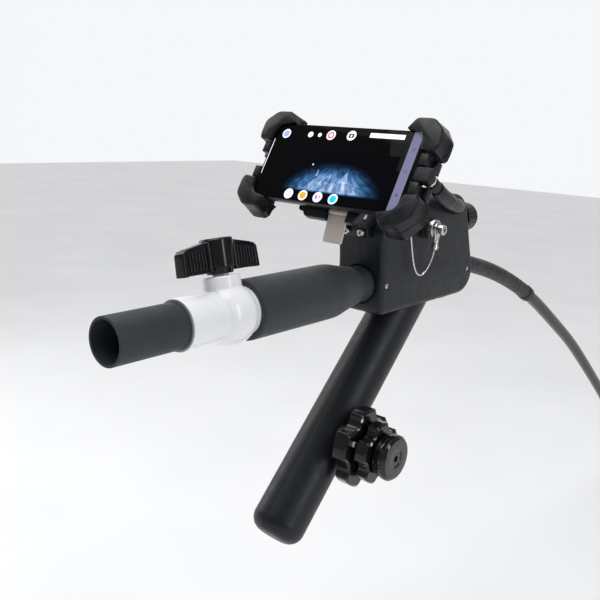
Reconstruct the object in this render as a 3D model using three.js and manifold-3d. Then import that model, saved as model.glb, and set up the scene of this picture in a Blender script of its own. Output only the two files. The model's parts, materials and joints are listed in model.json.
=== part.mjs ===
// Hand-held guide camera: a pistol-grip tool with an inlet pipe and ball valve, a steerable
// guide hose with a camera head, two steering wheels on the grip, and a phone as its display.
// Millimetres, +Z up, +Y forward (the way the hose leaves), +X to the user's right.
// The origin is the middle of the hand grip, on the handle's axis.
import * as THREE from "three";
import { mergeVertices } from "three/addons/utils/BufferGeometryUtils.js";
import Module from "manifold-3d";

const wasm = await Module();
wasm.setup();

// ---------------------------------------------------------------- driving dimensions
const GAP = 0.3;                       // between neighbouring pieces
const DEG = Math.PI / 180;

const PIPE_R = 16.7;                   // 1 inch pipe, 33.4 mm outside
const PIPE_WALL = 2;
const INLET_END = -274;                // open end of the inlet pipe, behind the housing's rear face
const GRIP_PIPE_FRONT = 40;            // how far the pipe reaches into the housing

const VALVE_Y = -167;                  // middle of the ball valve
const VALVE_LEAN = -14 * DEG;          // the valve's stem leans to the left
const VALVE_HALF = 48.5;
const SOCKET_R = 18.8;
const SOCKET_DEPTH = 27;
const BULGE_R = 23.8;
const CHAMBER_R = 17.7;
const CHAMBER_HALF = 17;
const BALL_R = 17.2;
const PORT_R = 12.8;
const NECK_R = 14.4;
const NECK_TOP = 28.5;
const STEM_R = 5.9;

const SLEEVE_R = 23.4;                 // foam sleeve over the pipe
const SLEEVE_REAR = -150;
const SLEEVE_SHOULDER = -48;
const SLEEVE_FRONT = -16;

const HOUSING_HALF = 25;               // half of the housing's width
const HOUSING_BEVEL = 5;
const WALL = 3;

const HANDLE_ROOT = [78.8, -20];       // where the handle's axis starts, y and z
const HANDLE_RAKE = 44.35 * DEG;       // from straight down, towards the rear
const HANDLE_R = 23.6;
const HANDLE_WALL = 2.8;
const HANDLE_LENGTH = 262;
const HANDLE_ROUND = 13;               // radius of the rounded end
const GRIP_AT = 100;                   // the grip's middle, along the handle's axis

const WHEEL_AT = 160;                  // the steering wheels' axis, along the handle
const LARGE_WHEEL = { inner: 30, outer: 44, radius: 35, lobes: 5, scoop: 11 };
const SMALL_WHEEL = { inner: 47.5, outer: 59, radius: 27, lobes: 5, scoop: 8.5 };
const BRAKE_KNOB = { inner: 60.5, outer: 74, root: 18, radius: 20 };
const OUTER_SHAFT_R = 7;
const INNER_SHAFT_R = 4.9;
const DRUM_R = 14;

const DISPLAY_AT = [0, -47.9, 106.1];  // middle of the phone's glass
const DISPLAY_TILT = -29.76 * DEG;
const PHONE = { length: 151.2, width: 71.9, depth: 8.6, corner: 9 };
const TILT_PIVOT = [46, -22];          // behind and below the glass's middle, in the display's frame

const HOSE_R = 7.75;
const SHEATH_R = 9.1;
const HOSE_START = 66;
// the hose's route ahead of the housing, y and z; it droops in the tool's middle plane
const HOSE_ROUTE = [
  [HOSE_START, 0], [100, 0], [140, 0], [172, -0.4], [196, -3], [218, -7.5], [258, -17.6], [298, -30],
  [341, -46], [384, -64.5], [426, -85], [468, -107.5], [513, -132.2], [559, -158], [599, -182.2],
  [638, -207.5], [682, -236.8], [726, -266.5], [770, -297], [812, -326.6], [852, -355.2], [892, -384],
];
const SHEATH_FRONT = 9;                // the point of the route where the outer sheath ends

// ---------------------------------------------------------------- solids
// A closed body with shared vertices, its faces pointing out.
function closed(geometry) {
  const plain = new THREE.BufferGeometry();
  plain.setAttribute("position", geometry.attributes.position.clone());
  if (geometry.index) plain.setIndex(geometry.index.clone());
  const merged = mergeVertices(plain, 1e-4);
  const index = merged.index.array;
  const position = merged.attributes.position;
  const corners = [new THREE.Vector3(), new THREE.Vector3(), new THREE.Vector3()];
  const kept = [];
  let volume = 0;
  for (let i = 0; i < index.length; i += 3) {
    const [a, b, c] = [index[i], index[i + 1], index[i + 2]];
    if (a === b || b === c || c === a) continue;
    kept.push(a, b, c);
    corners.forEach((corner, k) => corner.fromBufferAttribute(position, index[i + k]));
    volume += corners[0].dot(corners[1].cross(corners[2]));
  }
  if (volume < 0) kept.reverse();
  merged.setIndex(kept);
  return merged;
}

function asManifold(geometry) {
  const body = closed(geometry);
  return new wasm.Manifold(new wasm.Mesh({
    numProp: 3,
    vertProperties: new Float32Array(body.attributes.position.array),
    triVerts: new Uint32Array(body.index.array),
  }));
}

function asGeometry(solid) {
  const mesh = solid.getMesh();
  const geometry = new THREE.BufferGeometry();
  geometry.setAttribute("position", new THREE.BufferAttribute(mesh.vertProperties, 3));
  geometry.setIndex(new THREE.BufferAttribute(mesh.triVerts, 1));
  return geometry;
}

const cut = (body, ...tools) =>
  asGeometry(tools.reduce((left, tool) => left.subtract(asManifold(tool)), asManifold(body)));
const join = (body, ...others) =>
  asGeometry(others.reduce((whole, other) => whole.add(asManifold(other)), asManifold(body)));
const overlap = (body, other) => asGeometry(asManifold(body).intersect(asManifold(other)));

// A turned body about Y. The profile is a loop of [radius, along] points.
function turned(profile, segments = 24) {
  const loop = [...profile, profile[0]].map(([radius, along]) => new THREE.Vector2(radius, along));
  return new THREE.LatheGeometry(loop, segments);
}
const rod = (radius, start, end, segments = 20) =>
  turned([[0, start], [radius, start], [radius, end], [0, end]], segments);
const tube = (outer, inner, start, end, segments = 24) =>
  turned([[inner, start], [outer, start], [outer, end], [inner, end]], segments);
const alongX = (geometry) => geometry.rotateZ(-Math.PI / 2);
const alongZ = (geometry) => geometry.rotateX(Math.PI / 2);

function block([x0, x1], [y0, y1], [z0, z1]) {
  const geometry = new THREE.BoxGeometry(x1 - x0, y1 - y0, z1 - z0);
  return geometry.translate((x0 + x1) / 2, (y0 + y1) / 2, (z0 + z1) / 2);
}

// An outline from [u, v, corner radius] points, its corners rounded.
function outline(corners) {
  const shape = new THREE.Shape();
  const count = corners.length;
  const toward = (from, to, distance) => {
    const length = Math.hypot(to[0] - from[0], to[1] - from[1]);
    const share = Math.min(distance / length, 0.5);
    return [from[0] + (to[0] - from[0]) * share, from[1] + (to[1] - from[1]) * share];
  };
  corners.forEach((corner, i) => {
    const before = corners[(i + count - 1) % count];
    const after = corners[(i + 1) % count];
    const radius = corner[2] ?? 0;
    const start = toward(corner, before, radius);
    const end = toward(corner, after, radius);
    if (i === 0) shape.moveTo(...start);
    else shape.lineTo(...start);
    if (radius > 0) shape.quadraticCurveTo(corner[0], corner[1], ...end);
  });
  shape.closePath();
  return shape;
}

// The same outline with every edge moved inwards by a distance.
function inset(corners, distance) {
  const count = corners.length;
  const area = corners.reduce((sum, [u, v], i) => {
    const [nextU, nextV] = corners[(i + 1) % count];
    return sum + u * nextV - nextU * v;
  }, 0);
  const inward = Math.sign(area) * distance;
  const edge = (from, to) => {
    const length = Math.hypot(to[0] - from[0], to[1] - from[1]);
    const [du, dv] = [(to[0] - from[0]) / length, (to[1] - from[1]) / length];
    return { u: from[0] - dv * inward, v: from[1] + du * inward, du, dv };
  };
  return corners.map((corner, i) => {
    const first = edge(corners[(i + count - 1) % count], corner);
    const second = edge(corner, corners[(i + 1) % count]);
    const cross = first.du * second.dv - first.dv * second.du;
    const along = ((second.u - first.u) * second.dv - (second.v - first.v) * second.du) / cross;
    const radius = Math.max((corner[2] ?? 0) - distance, 0);
    return [first.u + first.du * along, first.v + first.dv * along, radius];
  });
}

const extruded = (shape, depth, bevel = 0, curveSegments = 3) =>
  new THREE.ExtrudeGeometry(shape, {
    depth: depth - 2 * bevel,
    bevelEnabled: bevel > 0,
    bevelThickness: bevel,
    bevelSize: bevel,
    bevelOffset: -bevel,
    bevelSegments: 2,
    curveSegments,
  }).translate(0, 0, bevel);

const basis = (u, v, w) => new THREE.Matrix4().makeBasis(u, v, w);
const X = new THREE.Vector3(1, 0, 0);
const Y = new THREE.Vector3(0, 1, 0);
const Z = new THREE.Vector3(0, 0, 1);
// an outline in y and z, extruded from one x to another
const sidePlate = (shape, [x0, x1], bevel) =>
  extruded(shape, x1 - x0, bevel).applyMatrix4(basis(Y, Z, X)).translate(x0, 0, 0);
// an outline in x and z, extruded from one y to another
const facePlate = (shape, [y0, y1], bevel) =>
  extruded(shape, y1 - y0, bevel).applyMatrix4(basis(X, Z, Y.clone().negate())).translate(0, y1, 0);

const rectangle = ([u0, u1], [v0, v1], corner) =>
  outline([[u0, v0, corner], [u1, v0, corner], [u1, v1, corner], [u0, v1, corner]]);

// A tube along a smooth curve through the points, hollow if it has an inner radius.
function swept(points, radius, sides, steps, inner = 0) {
  const ring = (size, Kind) => {
    const path = new Kind();
    path.absarc(0, 0, size, 0, 2 * Math.PI);
    return path;
  };
  const section = ring(radius, THREE.Shape);
  if (inner > 0) section.holes.push(ring(inner, THREE.Path));
  const curve = new THREE.CatmullRomCurve3(points.map((point) => new THREE.Vector3(...point)));
  curve.arcLengthDivisions = 800;
  return new THREE.ExtrudeGeometry(section, {
    extrudePath: curve,
    steps,
    curveSegments: sides,
    bevelEnabled: false,
  });
}

// ---------------------------------------------------------------- scene graph
const finish = {
  pipe: { color: 0x33373b, roughness: 0.7, metalness: 0 },
  pvc: { color: 0xf0f0f2, roughness: 0.25, metalness: 0 },
  ball: { color: 0xe2e2e0, roughness: 0.3, metalness: 0 },
  seat: { color: 0xf7f7f4, roughness: 0.4, metalness: 0 },
  gloss: { color: 0x111214, roughness: 0.2, metalness: 0 },
  foam: { color: 0x2a2e31, roughness: 0.9, metalness: 0 },
  housing: { color: 0x1d1f22, roughness: 0.5, metalness: 0 },
  rubber: { color: 0x17181a, roughness: 0.85, metalness: 0 },
  steel: { color: 0xb9bbbd, roughness: 0.3, metalness: 1 },
  anodised: { color: 0x0e0e10, roughness: 0.25, metalness: 0.7 },
  board: { color: 0x1f5a34, roughness: 0.5, metalness: 0 },
  battery: { color: 0x3a6ea5, roughness: 0.5, metalness: 0 },
  holder: { color: 0x202225, roughness: 0.6, metalness: 0 },
  lever: { color: 0x8f8880, roughness: 0.4, metalness: 0.6 },
  phone: { color: 0xcfd0d4, roughness: 0.3, metalness: 0.6 },
  glass: { color: 0x050506, roughness: 0.08, metalness: 0 },
  hose: { color: 0x1a1b1c, roughness: 0.35, metalness: 0 },
};

const machine = new THREE.Group();
const tool = new THREE.Group();        // origin where the pipe's axis meets the housing's rear face
const [ROOT_Y, ROOT_Z] = HANDLE_ROOT;
const RAKE_Y = -Math.sin(HANDLE_RAKE);
const RAKE_Z = -Math.cos(HANDLE_RAKE);
tool.position.set(0, -(ROOT_Y + RAKE_Y * GRIP_AT), -(ROOT_Z + RAKE_Z * GRIP_AT));
machine.add(tool);

const valve = new THREE.Group();       // origin at the ball's middle, Z along the stem
valve.position.set(0, VALVE_Y, 0);
valve.rotation.y = VALVE_LEAN;
tool.add(valve);

const wheels = new THREE.Group();      // origin on the handle's axis, X along the wheels' axis
wheels.position.set(0, ROOT_Y + RAKE_Y * WHEEL_AT, ROOT_Z + RAKE_Z * WHEEL_AT);
tool.add(wheels);

const display = new THREE.Group();     // origin on the phone's glass, Y behind it, Z up its face
display.position.set(...DISPLAY_AT);
display.rotation.x = DISPLAY_TILT;
tool.add(display);

function add(group, name, look, geometry) {
  const mesh = new THREE.Mesh(closed(geometry), new THREE.MeshStandardMaterial(finish[look]));
  mesh.name = name;
  group.add(mesh);
}

// a point beside the handle's axis: along it, across it towards the front, and sideways
const onHandle = (along, across, x = 0) =>
  [x, ROOT_Y + RAKE_Y * along - RAKE_Z * across, ROOT_Z + RAKE_Z * along + RAKE_Y * across];
// turns a body made along Y so that it lies along the handle
const handleTurn = Math.atan2(RAKE_Z, RAKE_Y);
const alongHandle = (geometry) => geometry.rotateX(handleTurn).translate(0, ROOT_Y, ROOT_Z);

// ---------------------------------------------------------------- inlet pipe and ball valve
function inletLine() {
  const stop = VALVE_HALF - SOCKET_DEPTH;
  const bore = PIPE_R - PIPE_WALL;
  add(tool, "inlet_pipe", "pipe", tube(PIPE_R, bore, INLET_END, VALVE_Y - stop - 1));
  add(tool, "grip_pipe", "pipe", tube(PIPE_R, bore, VALVE_Y + stop + 1, GRIP_PIPE_FRONT));

  const socketBore = PIPE_R + GAP;
  const bulge = [];
  const meet = Math.asin(Math.sqrt(BULGE_R ** 2 - SOCKET_R ** 2) / BULGE_R);
  for (let i = 0; i <= 6; i += 1) {
    const angle = -meet + (2 * meet * i) / 6;
    bulge.push([BULGE_R * Math.cos(angle), BULGE_R * Math.sin(angle)]);
  }
  const outside = turned([[0, -VALVE_HALF], [SOCKET_R, -VALVE_HALF], ...bulge, [SOCKET_R, VALVE_HALF],
    [0, VALVE_HALF]]);
  const past = VALVE_HALF + 5;
  const half = [[socketBore, past], [socketBore, stop], [PORT_R, stop], [PORT_R, CHAMBER_HALF],
    [CHAMBER_R, CHAMBER_HALF]];
  const mirrored = half.map(([radius, along]) => [radius, -along]).reverse();
  const inside = turned([[0, past], ...half, ...mirrored, [0, -past]]);
  const neck = alongZ(rod(NECK_R, 0, NECK_TOP));
  const stemBore = alongZ(rod(STEM_R + GAP, 10, NECK_TOP + 5, 16));
  add(valve, "valve_body", "pvc", cut(join(outside, neck), inside, stemBore));

  const sphere = [];
  const edge = Math.asin(PORT_R / BALL_R);
  for (let i = 0; i <= 8; i += 1) {
    const angle = edge + ((Math.PI - 2 * edge) * i) / 8;
    sphere.push([BALL_R * Math.sin(angle), -BALL_R * Math.cos(angle)]);
  }
  const stemSlot = block([-2.3, 2.3], [-8, 8], [BALL_R - 3, BALL_R + 3]);
  add(valve, "valve_ball", "ball", cut(turned(sphere, 20), stemSlot));
  for (const [name, side] of [["valve_seat_rear", -1], ["valve_seat_front", 1]]) {
    const ends = [side * 12.4, side * (CHAMBER_HALF - GAP)];
    add(valve, name, "seat", tube(CHAMBER_R - GAP, PORT_R, Math.min(...ends), Math.max(...ends)));
  }

  const stem = rod(STEM_R, 18, 50, 16);
  const tongue = block([-2, 2], [-5, 5], [BALL_R - 2.5, 18.5]);
  add(valve, "valve_stem", "ball", join(alongZ(stem), tongue));
}

// T handle of the valve, in line with the pipe when the valve is open
function valveHandle() {
  const foot = 30;
  const [wingHalf, wingThick] = [38, 4.4];
  const wings = sidePlate(outline([[-wingHalf, foot + 2, 1.5], [wingHalf, foot + 2, 1.5],
    [wingHalf, 50, 4], [12, 55, 2], [-12, 55, 2], [-wingHalf, 50, 4]]), [-wingThick, wingThick], 1);
  const hub = alongZ(turned([[0, foot], [10.6, foot], [12.2, 34], [12.4, 54.6], [11.2, 56], [0, 56]], 20));
  const ribs = [];
  for (const side of [-1, 1]) {
    for (let i = 0; i < 6; i += 1) {
      const y = side * (15.5 + i * 3.4);
      ribs.push(block([-wingThick - 0.9, wingThick + 0.9], [y - 0.8, y + 0.8], [foot + 5, 50.5 - i * 0.6]));
    }
  }
  const bore = alongZ(rod(STEM_R + GAP, foot - 5, 50 + GAP, 16));
  add(valve, "valve_handle", "gloss", cut(join(wings, hub, ...ribs), bore));
}

function sleeve() {
  const socket = SOCKET_R + GAP + 0.1;
  const bore = PIPE_R + GAP;
  const socketEnd = VALVE_Y + VALVE_HALF + 1;
  add(tool, "grip_sleeve", "foam", turned([
    [socket, SLEEVE_REAR], [SLEEVE_R - 0.8, SLEEVE_REAR], [SLEEVE_R, SLEEVE_REAR + 0.8],
    [SLEEVE_R, SLEEVE_SHOULDER], [22.6, SLEEVE_SHOULDER + 5], [18, SLEEVE_FRONT - 4],
    [17.6, SLEEVE_FRONT], [bore, SLEEVE_FRONT], [bore, socketEnd + 2], [socket, socketEnd],
  ]));
}

// ---------------------------------------------------------------- housing and handle
const HOUSING_OUTLINE = [
  [0, -26, 9], [0, 22, 14], [-5, 52, 9], [42, 77.5, 16],
  [143, 77.5, 20], [175, -8, 16], [160, -26, 14],
];
// fasteners that hold the two halves together, y and z
const SHELL_SCREWS = {
  shell_screw_rear: [12, 46],
  shell_screw_grip: onHandle(246, 0).slice(1),
};
const BUSHING_R = 12;
const SIDE_SCREWS = { pipe_screw: [9, 1, PIPE_R], hose_screw: [161, -1, BUSHING_R] };
const AXLE_Y = ROOT_Y + RAKE_Y * WHEEL_AT;
const AXLE_Z = ROOT_Z + RAKE_Z * WHEEL_AT;
const BOSS_FACE = 28.5;

function handleBody(radius, start, end, round) {
  const profile = [[0, start], [radius, start]];
  for (let i = 0; i <= 3; i += 1) {
    const angle = (i / 3) * (Math.PI / 2);
    profile.push([radius - round + round * Math.cos(angle), end - round + round * Math.sin(angle)]);
  }
  profile.push([0, end]);
  return alongHandle(turned(profile));
}

function housing() {
  const outer = join(
    sidePlate(outline(HOUSING_OUTLINE), [-HOUSING_HALF, HOUSING_HALF], HOUSING_BEVEL),
    handleBody(HANDLE_R, -34, HANDLE_LENGTH, HANDLE_ROUND),
  );
  const inner = join(
    sidePlate(outline(inset(HOUSING_OUTLINE, WALL)), [WALL - HOUSING_HALF, HOUSING_HALF - WALL], 3),
    handleBody(HANDLE_R - HANDLE_WALL, -20, HANDLE_LENGTH - HANDLE_WALL, HANDLE_ROUND - HANDLE_WALL),
  );
  const at = (geometry, [y, z]) => geometry.translate(0, y, z);
  const across = [-HOUSING_HALF - 5, HOUSING_HALF + 5];
  const posts = Object.values(SHELL_SCREWS).map((place) =>
    overlap(outer, at(alongX(rod(4, ...across, 12)), place)));
  const pipeHole = rod(PIPE_R + GAP, -20, 20);
  const hoseHole = rod(BUSHING_R + GAP, 150, 190);
  const socketHole = rod(CAP_NECK_R + GAP, 140, 170).translate(FRONT_CAP[0], 0, FRONT_CAP[1]);
  const whole = cut(join(cut(outer, inner), ...posts), pipeHole, hoseHole, socketHole);

  const halfGap = 0.15;
  const far = 400;
  const leftSide = block([-far, halfGap], [-far, far], [-far, far]);
  const rightSide = block([-halfGap, far], [-far, far], [-far, far]);

  const bossEdge = [[0, 15], [15.5, 15], [15.5, BOSS_FACE - 1], [14.5, BOSS_FACE], [0, BOSS_FACE]];
  const boss = alongX(turned(bossEdge, 24));
  const shaftHole = alongX(rod(OUTER_SHAFT_R + GAP, 0, BOSS_FACE + 5, 16));
  const axle = [AXLE_Y, AXLE_Z];
  const bossHollow = handleBody(HANDLE_R - HANDLE_WALL, 80, 240, HANDLE_ROUND - HANDLE_WALL);
  const rightWhole = join(whole, cut(at(boss, axle), bossHollow));
  const screwHoles = Object.values(SHELL_SCREWS).map((place) => at(alongX(rod(1.8, -5, 14.5, 10)), place));
  const sideHoles = Object.values(SIDE_SCREWS).flatMap(([y, z]) => [
    at(alongX(rod(1.7, 15, 30, 10)), [y, z]),
    at(alongX(rod(2.9, HOUSING_HALF - 2.1, 30, 14)), [y, z]),
  ]);
  add(tool, "housing_right", "housing",
    cut(rightWhole, leftSide, at(shaftHole, axle), ...screwHoles, ...sideHoles));

  const headHoles = Object.values(SHELL_SCREWS).flatMap((place) => [
    at(alongX(rod(1.8, -30, 5, 10)), place),
    at(alongX(rod(3.4, -30, -19.8, 14)), place),
  ]);
  add(tool, "housing_left", "housing", cut(whole, rightSide, ...headHoles));
}

function housingScrews() {
  for (const [name, [y, z]] of Object.entries(SHELL_SCREWS)) {
    const head = -21.6;
    const screw = turned([[0, head], [3, head], [3, head + 1.5], [1.5, head + 1.5], [1.5, 14], [0, 14]], 10);
    add(tool, name, "steel", alongX(screw).translate(0, y, z));
  }
  for (const [name, [y, z, depth]] of Object.entries(SIDE_SCREWS)) {
    const face = HOUSING_HALF - 0.3;
    const screw = turned([[0, depth + GAP], [1.3, depth + GAP], [1.3, face - 1.4], [2.6, face - 1.4],
      [2.6, face], [0, face]], 12);
    const deep = [face - 0.7, face + 1];
    const slots = [block(deep, [-2, 2], [-0.4, 0.4]), block(deep, [-0.4, 0.4], [-2, 2])];
    add(tool, name, "steel", cut(alongX(screw), ...slots).translate(0, y, z));
  }
}

function housingInside() {
  // a reducer takes the flow from the pipe into the hose
  add(tool, "flow_reducer", "pvc", turned([
    [17, 26], [19.6, 26], [19.6, 44], [10.6, 62], [10.6, 84], [HOSE_R + GAP, 84],
    [HOSE_R + GAP, HOSE_START - GAP], [6, HOSE_START - GAP],
    [13, GRIP_PIPE_FRONT + GAP], [17, GRIP_PIPE_FRONT + GAP],
  ]));
  add(tool, "hose_bushing", "gloss", turned([
    [SHEATH_R + GAP, 148], [14.5, 148], [14.5, 151], [BUSHING_R, 151],
    [BUSHING_R, 172.5], [SHEATH_R + 0.5, 172.5],
  ]));
  add(tool, "circuit_board", "board", block([-9.6, -8], [28, 108], [26, 62]));
  const battery = block([-11.5, 11.5], [184, 236], [-13, 13]);
  add(tool, "battery_pack", "battery", alongHandle(battery));
  add(tool, "front_foot", "rubber", block([-12, 12], [128, 146], [-31, -26 - GAP]));
}

// ---------------------------------------------------------------- steering wheels
// A wheel with round scoops between its lobes, about X.
function lobedWheel({ inner, outer, radius, lobes, scoop }, bore) {
  const bevel = 2;
  const blank = turned([[0, inner], [radius - bevel, inner], [radius, inner + bevel],
    [radius, outer - bevel], [radius - bevel, outer], [0, outer]], 40);
  const scoops = [];
  for (let i = 0; i < lobes; i += 1) {
    const angle = ((i + 0.5) / lobes) * 2 * Math.PI;
    const reach = radius + scoop * 0.35;
    const hollow = rod(scoop, inner - 5, outer + 5, 14);
    scoops.push(hollow.translate(reach * Math.sin(angle), 0, reach * Math.cos(angle)));
  }
  return alongX(cut(blank, ...scoops, rod(bore, inner - 5, outer + 5, 16)));
}

function steering() {
  add(wheels, "large_wheel", "anodised", lobedWheel(LARGE_WHEEL, OUTER_SHAFT_R + GAP));
  add(wheels, "small_wheel", "anodised", lobedWheel(SMALL_WHEEL, INNER_SHAFT_R + GAP));
  add(wheels, "large_wheel_shaft", "steel",
    alongX(tube(OUTER_SHAFT_R, INNER_SHAFT_R + GAP, -1, LARGE_WHEEL.outer, 16)));
  add(wheels, "small_wheel_shaft", "steel", alongX(rod(INNER_SHAFT_R, -16, SMALL_WHEEL.outer, 16)));
  const groovedDrum = (start, bore) => alongX(turned([
    [bore, start], [DRUM_R + 1.2, start], [DRUM_R + 1.2, start + 1.5], [DRUM_R, start + 2],
    [DRUM_R, start + 6], [DRUM_R + 1.2, start + 6.5], [DRUM_R + 1.2, start + 8], [bore, start + 8],
  ], 20));
  add(wheels, "pitch_drum", "anodised", groovedDrum(1.5, OUTER_SHAFT_R + GAP));
  add(wheels, "yaw_drum", "anodised", groovedDrum(-12.6, INNER_SHAFT_R + GAP));

  const { inner, outer, root, radius } = BRAKE_KNOB;
  add(wheels, "brake_knob", "anodised", alongX(turned([
    [0, inner], [root, inner], [root, inner + 3], [radius, outer - 3.5], [radius, outer - 1.2],
    [radius - 1.2, outer], [7, outer], [6, outer - 1], [0, outer - 1],
  ], 28)));

  // the pull wires go round their drums and up the handle to the hose
  const wire = (x, rearX, side) => {
    const reach = DRUM_R + 1.5;
    const strand = [
      [side * 8.9, 126, 2], [side * 9, 106, -1.5], [side * 8.4, 90, -13],
      onHandle(14, reach, x), onHandle(60, reach, x), onHandle(110, reach, x), onHandle(148, reach, x),
    ];
    for (let i = 0; i <= 4; i += 1) {
      const angle = (i / 4) * Math.PI;
      strand.push(onHandle(WHEEL_AT + reach * Math.sin(angle), reach * Math.cos(angle), x));
    }
    strand.push(onHandle(148, -reach, x), onHandle(110, -reach, x), onHandle(60, -reach, x),
      onHandle(30, -reach, x), [rearX, 70, -22], [rearX, 90, -13], [rearX, 106, -9.6], [rearX, 126, -9.2]);
    return swept(strand, 0.5, 2, 60);
  };
  add(tool, "pitch_wire", "steel", wire(5.5, 2.4, 1));
  add(tool, "yaw_wire", "steel", wire(-8.6, -2.4, -1));
}

// ---------------------------------------------------------------- phone, holder and bracket
function phone() {
  const [halfX, halfZ] = [PHONE.length / 2, PHONE.width / 2];
  const back = PHONE.depth;
  const face = rectangle([-halfX, halfX], [-halfZ, halfZ], PHONE.corner);
  const buttons = { power_button: [18, 28], volume_rocker: [-12, 8] };
  const pockets = Object.values(buttons).map(([x0, x1]) =>
    block([x0 - GAP, x1 + GAP], [3, 6.2], [halfZ - 1.4, halfZ + 2]));
  add(display, "phone_body", "phone", cut(facePlate(face, [0.9, back], 1.6), ...pockets));
  const glass = rectangle([1 - halfX, halfX - 1], [1 - halfZ, halfZ - 1], PHONE.corner - 1);
  add(display, "phone_screen", "glass", facePlate(glass, [0, 0.6], 0));
  for (const [name, [x0, x1]] of Object.entries(buttons)) {
    add(display, name, "phone", block([x0, x1], [3.3, 5.9], [halfZ - 0.7, halfZ + 0.5]));
  }
}

// One corner claw, made for the upper right corner and mirrored to the others.
function claw(sideX, sideZ) {
  const [edgeX, edgeZ] = [PHONE.length / 2 + 0.6, PHONE.width / 2 + 0.5];
  const [farX, farZ] = [90, 46];
  const [legX, legZ] = [57, 19];
  const wall = outline([[legX, edgeZ], [edgeX, edgeZ], [edgeX, legZ], [farX - 2, legZ - 1, 2],
    [farX, legZ + 4, 2], [farX, farZ - 10, 4], [farX - 11, farZ, 4], [legX + 6, farZ, 3]]);
  const lip = outline([[legX, edgeZ - 0.2], [edgeX - 6, edgeZ - 3.2, 3], [edgeX - 3, edgeZ - 7, 3],
    [edgeX - 0.2, legZ], [farX - 2, legZ - 1, 2], [farX, legZ + 4, 2], [farX, farZ - 10, 4],
    [farX - 11, farZ, 4], [legX + 6, farZ, 3]]);
  const heel = outline([[legX + 4, 27], [edgeX - 6, 27], [edgeX - 4, legZ], [farX, legZ, 2],
    [farX, farZ - 10, 4], [farX - 11, farZ, 4], [legX + 2, farZ - 2, 3]]);
  const body = join(
    facePlate(wall, [-0.4, 18], 0), facePlate(lip, [-3.4, -0.3], 0), facePlate(heel, [9.2, 18], 0),
  );
  const position = body.attributes.position;
  for (let i = 0; i < position.count; i += 1) {
    const depth = Math.max(position.getY(i), 0) / 18;
    const [x, z] = [position.getX(i), position.getZ(i)];
    if (x > farX - 3) position.setX(i, x + 0.5 * depth);
    if (z > farZ - 3) position.setZ(i, z + 3 * depth);
  }
  return body.scale(sideX, 1, sideZ);
}

const ARM_Y = [11.6, 15.4];
const BAR = { x: [79, 87.5], y: [9.6, 17], z: [-16.8, 16.8] };

function holder() {
  const channel = block([-60, 60], [ARM_Y[0] - 0.4, ARM_Y[1] + 0.4], [-9.4, 9.4]);
  const plate = facePlate(rectangle([-46, 46], [-28, 28], 9), [9.2, 18.4], 1.5);
  const ears = [[-1.5, 2.5], [22.5, 26.5]].map((x) =>
    sidePlate(outline([[9.8, -26, 1], [18, -26, 1], [19.5, -38, 3], [12.5, -38, 3]]), x, 0));
  const wings = [
    [[-32, -26], [-19, -43], [2.5, -43], [2.5, -26]],
    [[22.5, -26], [22.5, -43], [30, -43], [40, -26]],
  ]
    .map((corners) => facePlate(outline(corners), [11, 17.5], 0));
  const leverPin = alongX(rod(1.6, -2, 27, 16)).translate(0, 16, -34.5);
  add(display, "holder_plate", "holder", cut(join(plate, ...ears, ...wings, leverPin), channel));
  const clawNames = {
    "1,1": "claw_top_right", "1,-1": "claw_bottom_right",
    "-1,1": "claw_top_left", "-1,-1": "claw_bottom_left",
  };
  for (const [side, name] of [[-1, "jaw_left"], [1, "jaw_right"]]) {
    const arm = block([2, BAR.x[0] + 2], ARM_Y, [-9, 9]);
    const bar = block(BAR.x, BAR.y, BAR.z);
    const rails = [[7, 17.4], [-17.4, -7]].map((z) => block([PHONE.length / 2 + 0.6, 83], [0.2, 12], z));
    const plugRoom = block([77.5, 95], [6, 20], [-6.6, 6.6]);
    add(display, name, "holder", cut(join(arm, bar, ...rails), plugRoom).scale(side, 1, 1));
    for (const sideZ of [1, -1]) {
      add(display, clawNames[`${side},${sideZ}`], "holder", claw(side, sideZ));
    }
  }

  // the lever hangs from a pin between the plate's ears and opens the jaw
  const hub = alongX(tube(3.6, 1.9, 2.8, 22.2, 14));
  const blade = facePlate(rectangle([3.2, 21.8], [-25.5, -2.6], 2), [-3.4, -1.2], 0.4);
  const lever = cut(join(hub, blade), alongX(rod(1.9, 2, 23, 14)));
  add(display, "release_lever", "lever", lever.rotateX(13 * DEG).translate(0, 16, -34.5));
}

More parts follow.
